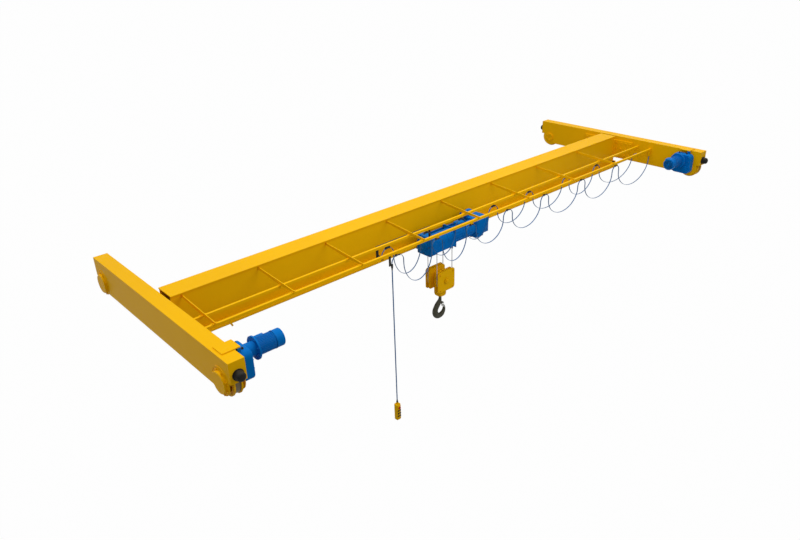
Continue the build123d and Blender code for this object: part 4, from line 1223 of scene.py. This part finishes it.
grille_profile = [(0.0, 0.002), (0.016, 0.002)]
for number in range(6):
    inside = 0.018 + 0.010 * number
    grille_profile += [(inside, 0.0), (inside + 0.004, 0.0), (inside + 0.005, 0.003), (inside + 0.009, 0.003)]
grille_profile += [(0.080, 0.0)]
seam_profile = ((0.0938, 0.0), (0.0965, 0.001), (0.0965, 0.013), (0.0938, 0.014))
seam_start = body_end + 0.004
fins_start = body_start - 0.004
fin_core_radius = 0.086
fin_length = 0.188
fin_count = 36
fin_height = 0.007
box_near = 4.110
box_far = 3.985
box_half_height = 0.045
box_bottom = 0.080
box_top = 0.135
box_bolt_places = (4.098, 3.997)
box_bolt_rise = 0.033
motor_flange = 4.166
motor_bolt_circle = 0.106

for side, side_name in both_sides:
    inward = (-side, 0, 0)
    fins = bmesh.new()
    foot = (side * fins_start, motor_y, motor_z)
    add_fins(fins, foot, inward, fin_core_radius, fin_length, fin_count, fin_height)
    make_piece(f"{side_name}_motor_fins", fins, drive_blue, "bridge")
    trim = bmesh.new()
    add_turned(trim, (side * cover_end, motor_y, motor_z), inward, grille_profile, segments=48)
    add_turned(trim, (side * seam_start, motor_y, motor_z), inward, seam_profile, segments=64)
    low_x, high_x = sorted((side * box_near, side * box_far))
    low = (low_x, motor_y + box_bottom, motor_z - box_half_height)
    add_block(trim, low, (high_x, motor_y + box_top, motor_z + box_half_height), 0.006)
    for bolt_x in box_bolt_places:
        for up in (-box_bolt_rise, box_bolt_rise):
            add_bolt(trim, (side * bolt_x, motor_y + box_top, motor_z + up), (0, 1, 0), 0.006)
    add_bolt_ring(trim, (side * motor_flange, motor_y, motor_z), (side, 0, 0), motor_bolt_circle, 8, 0.010)
    make_piece(f"{side_name}_motor_trim", trim, drive_blue, "bridge")

# %% Travel gearcases
case_y = -1.385
case_z = 0.235
case_front = 4.266
motor_room = 0.095
plug_x = 4.320
plug_z = 0.400
plug_places = (case_y - 0.060, case_y + 0.070)
case_cap_profile = ((0.0, 0.010), (0.046, 0.010), (0.052, 0.006), (0.055, 0.0))
plug_profile = ((0.014, -0.002), (0.014, 0.004), (0.010, 0.005), (0.010, 0.018), (0.007, 0.021), (0.0, 0.021))

for side, side_name in both_sides:
    inward = (-side, 0, 0)
    case_trim = bmesh.new()
    spots = [(y, z) for y in (-0.135, -0.045, 0.045, 0.135) for z in (-0.140, 0.140)]
    spots += [(y, z) for y in (-0.137, 0.137) for z in (-0.050, 0.050)]
    for spot_y, spot_z in spots:
        shrink = 0.90 if abs(spot_y) > 0.1 and abs(spot_z) > 0.1 else 0.96
        place = (side * case_front, case_y + spot_y * shrink, case_z + spot_z * shrink)
        if (Vector(place[1:]) - Vector((motor_y, motor_z))).length > motor_room:
            add_bolt(case_trim, place, inward, 0.010)
    add_turned(case_trim, (side * case_front, -axle_y, axle_z), inward, case_cap_profile, segments=48)
    make_piece(f"{side_name}_gearcase_trim", case_trim, drive_blue, "bridge")
    plugs = bmesh.new()
    for plug_y in plug_places:
        add_turned(plugs, (side * plug_x, plug_y, plug_z), (0, 0, 1), plug_profile, segments=20)
    make_piece(f"{side_name}_gearcase_plugs", plugs, trolley_dark, "bridge")

# %% [markdown]
# The hoist's housings are closed by covers. A cover stands a few millimetres proud of its housing,
# its edges are bevelled, and screws hold it near the corners.

# %% Hoist covers
hoist_left = -0.800
hoist_front = -0.430
end_cover_profile = ((0.0, 0.014), (0.058, 0.014), (0.066, 0.010), (0.068, 0.0))
cover_proud = 0.006
cover_boxes = (
    ((hoist_left - cover_proud, -0.412, -0.143), (hoist_left + 0.002, -0.176, 0.113), 0.003),
    ((0.154, hoist_front - cover_proud, -0.100), (0.386, hoist_front + 0.002, 0.113), 0.003),
    ((-0.784, hoist_front - 0.005, -0.139), (-0.684, hoist_front + 0.002, 0.109), 0.003),
    ((-0.170, -0.362, 0.090), (-0.030, -0.248, 0.150), 0.008),
)
end_cover_place = (hoist_left - cover_proud, block_y, -0.015)

covers = bmesh.new()
add_boxes(covers, cover_boxes)
add_turned(covers, end_cover_place, (-1, 0, 0), end_cover_profile, segments=48)
make_piece("hoist_covers", covers, drive_blue, "hoist")

# %% Hoist screws
end_face = (hoist_left - cover_proud,)
screw_rows = (
    (end_face, (-0.398, -0.294, -0.190), (-0.129, 0.099), (-1, 0, 0), 0.009),
    (end_face, (-0.398, -0.190), (-0.015,), (-1, 0, 0), 0.009),
    ((0.166, 0.374), (hoist_front - cover_proud,), (-0.088, 0.101), (0, -1, 0), 0.007),
    ((-0.775, -0.693), (hoist_front - 0.005,), (-0.130, 0.100), (0, -1, 0), 0.007),
    ((-0.300,), (-0.415, -0.178), (0.110, -0.140), (-1, 0, 0), 0.010),
    ((-0.286,), (-0.415, -0.178), (0.110, -0.140), (1, 0, 0), 0.010),
)
screws = bmesh.new()
for row_x, row_y, row_z, facing, washer in screw_rows:
    for place in product(row_x, row_y, row_z):
        add_bolt(screws, place, facing, washer)
make_piece("hoist_screws", screws, trolley_dark, "hoist")

# %% Cable glands of the control box
gland_places = [((place_x, block_y, -0.157), (0, 0, -1)) for place_x in (0.165, 0.205, 0.245)]
gland_places += [((-0.100, -0.362, 0.120), (0, -1, 0))]
gland_profile = ((0.012, 0.0), (0.012, 0.006), (0.015, 0.006), (0.015, 0.016), (0.010, 0.022), (0.0, 0.022))
glands = bmesh.new()
for place, facing in gland_places:
    add_turned(glands, place, facing, gland_profile, segments=24)
make_piece("hoist_glands", glands, black_rubber, "hoist")

# %% [markdown]
# The trolley's back plate shows the ends of the wheel axles, with a nut and washer each, and the
# bolts of the two cross beams.

# %% Trolley axle nuts
wheel_axle_z = -0.0127
back_face = 0.406
axle_places = (-0.630, 0.230)
beam_places = (-0.680, 0.280)
beam_bolt_spread = 0.020
beam_bolt_z = -0.140
axle_washer = 0.030
beam_washer = 0.010

nuts = bmesh.new()
for spot_x in axle_places:
    add_bolt(nuts, (spot_x, back_face, wheel_axle_z), (0, 1, 0), axle_washer)
for spot_x in beam_places:
    for side in (-beam_bolt_spread, beam_bolt_spread):
        add_bolt(nuts, (spot_x + side, back_face, beam_bolt_z), (0, 1, 0), beam_washer)
make_piece("trolley_nuts", nuts, trolley_dark, "hoist")

# %% Flanges of the trolley wheels
wheel_rim_profile = ((0.030, 0.0), (0.030, 0.004), (0.052, 0.004), (0.056, 0.0))
wheel_faces = ((-0.133, (0, -1, 0)), (0.377, (0, 1, 0)))
wheel_rims = bmesh.new()
for spot_x in axle_places:
    for face_y, facing in wheel_faces:
        add_turned(wheel_rims, (spot_x, face_y, wheel_axle_z), facing, wheel_rim_profile, segments=40)
make_piece("trolley_wheel_rims", wheel_rims, wheel_steel, "hoist")

# %% [markdown]
# The pendant station is a moulded case with a front cover. It carries six push buttons in two rows
# and a red stop button with a mushroom head. Rubber boots relieve the cable at both ends.

# %% Pendant station
station_front = -0.760
station_top = -1.989
button_rows = (-2.085, -2.130, -2.175)
stop_z = -2.035
button_spread = 0.016
button_face = station_front - 0.004
station_box = ((-0.030, button_face, -0.240), (0.030, station_front + 0.003, -0.010), 0.003)
button_profile = ((0.0135, 0.0), (0.0135, 0.004), (0.0105, 0.004), (0.0105, 0.002))
button_profile += ((0.0095, 0.002), (0.0090, 0.006), (0.0, 0.0065))

station_cover = bmesh.new()
add_boxes(station_cover, (station_box,), (pendant_x, 0, station_top))
for corner_x in (-0.024, 0.024):
    for corner_z in (-0.232, -0.018):
        place = (pendant_x + corner_x, button_face, station_top + corner_z)
        add_bolt(station_cover, place, (0, -1, 0), 0.003)
make_piece("station_cover", station_cover, pendant_yellow, "pendant")

buttons = bmesh.new()
for button_z in button_rows:
    for side in (-1, 1):
        place = (pendant_x + side * button_spread, button_face, button_z)
        add_turned(buttons, place, (0, -1, 0), button_profile, segments=28)
boot = ((0.0, 0.0), (0.014, 0.0), (0.014, 0.006), (0.0125, 0.008), (0.0125, 0.014))
boot += ((0.011, 0.016), (0.011, 0.024), (0.0095, 0.026), (0.0085, 0.045), (0.0, 0.045))
add_turned(buttons, (pendant_x, outer_rail_y, pendant_bottom), (0, 0, 1), boot, segments=28)
add_turned(buttons, (pendant_x, outer_rail_y, pendant_top), (0, 0, -1), boot, segments=28)
make_piece("pendant_buttons", buttons, black_rubber, "pendant")

# %% The stop button
stop_red = soft_coat("stop_red", (196, 24, 20), (176, 18, 16), 0.35, 260.0, 0.0001)
stop_profile = ((0.010, 0.0), (0.010, 0.008), (0.018, 0.009), (0.019, 0.012))
stop_profile += ((0.017, 0.017), (0.010, 0.020), (0.0, 0.021))
stop_button = bmesh.new()
add_turned(stop_button, (pendant_x, button_face, stop_z), (0, -1, 0), stop_profile, segments=40)
make_piece("stop_button", stop_button, stop_red, "pendant")
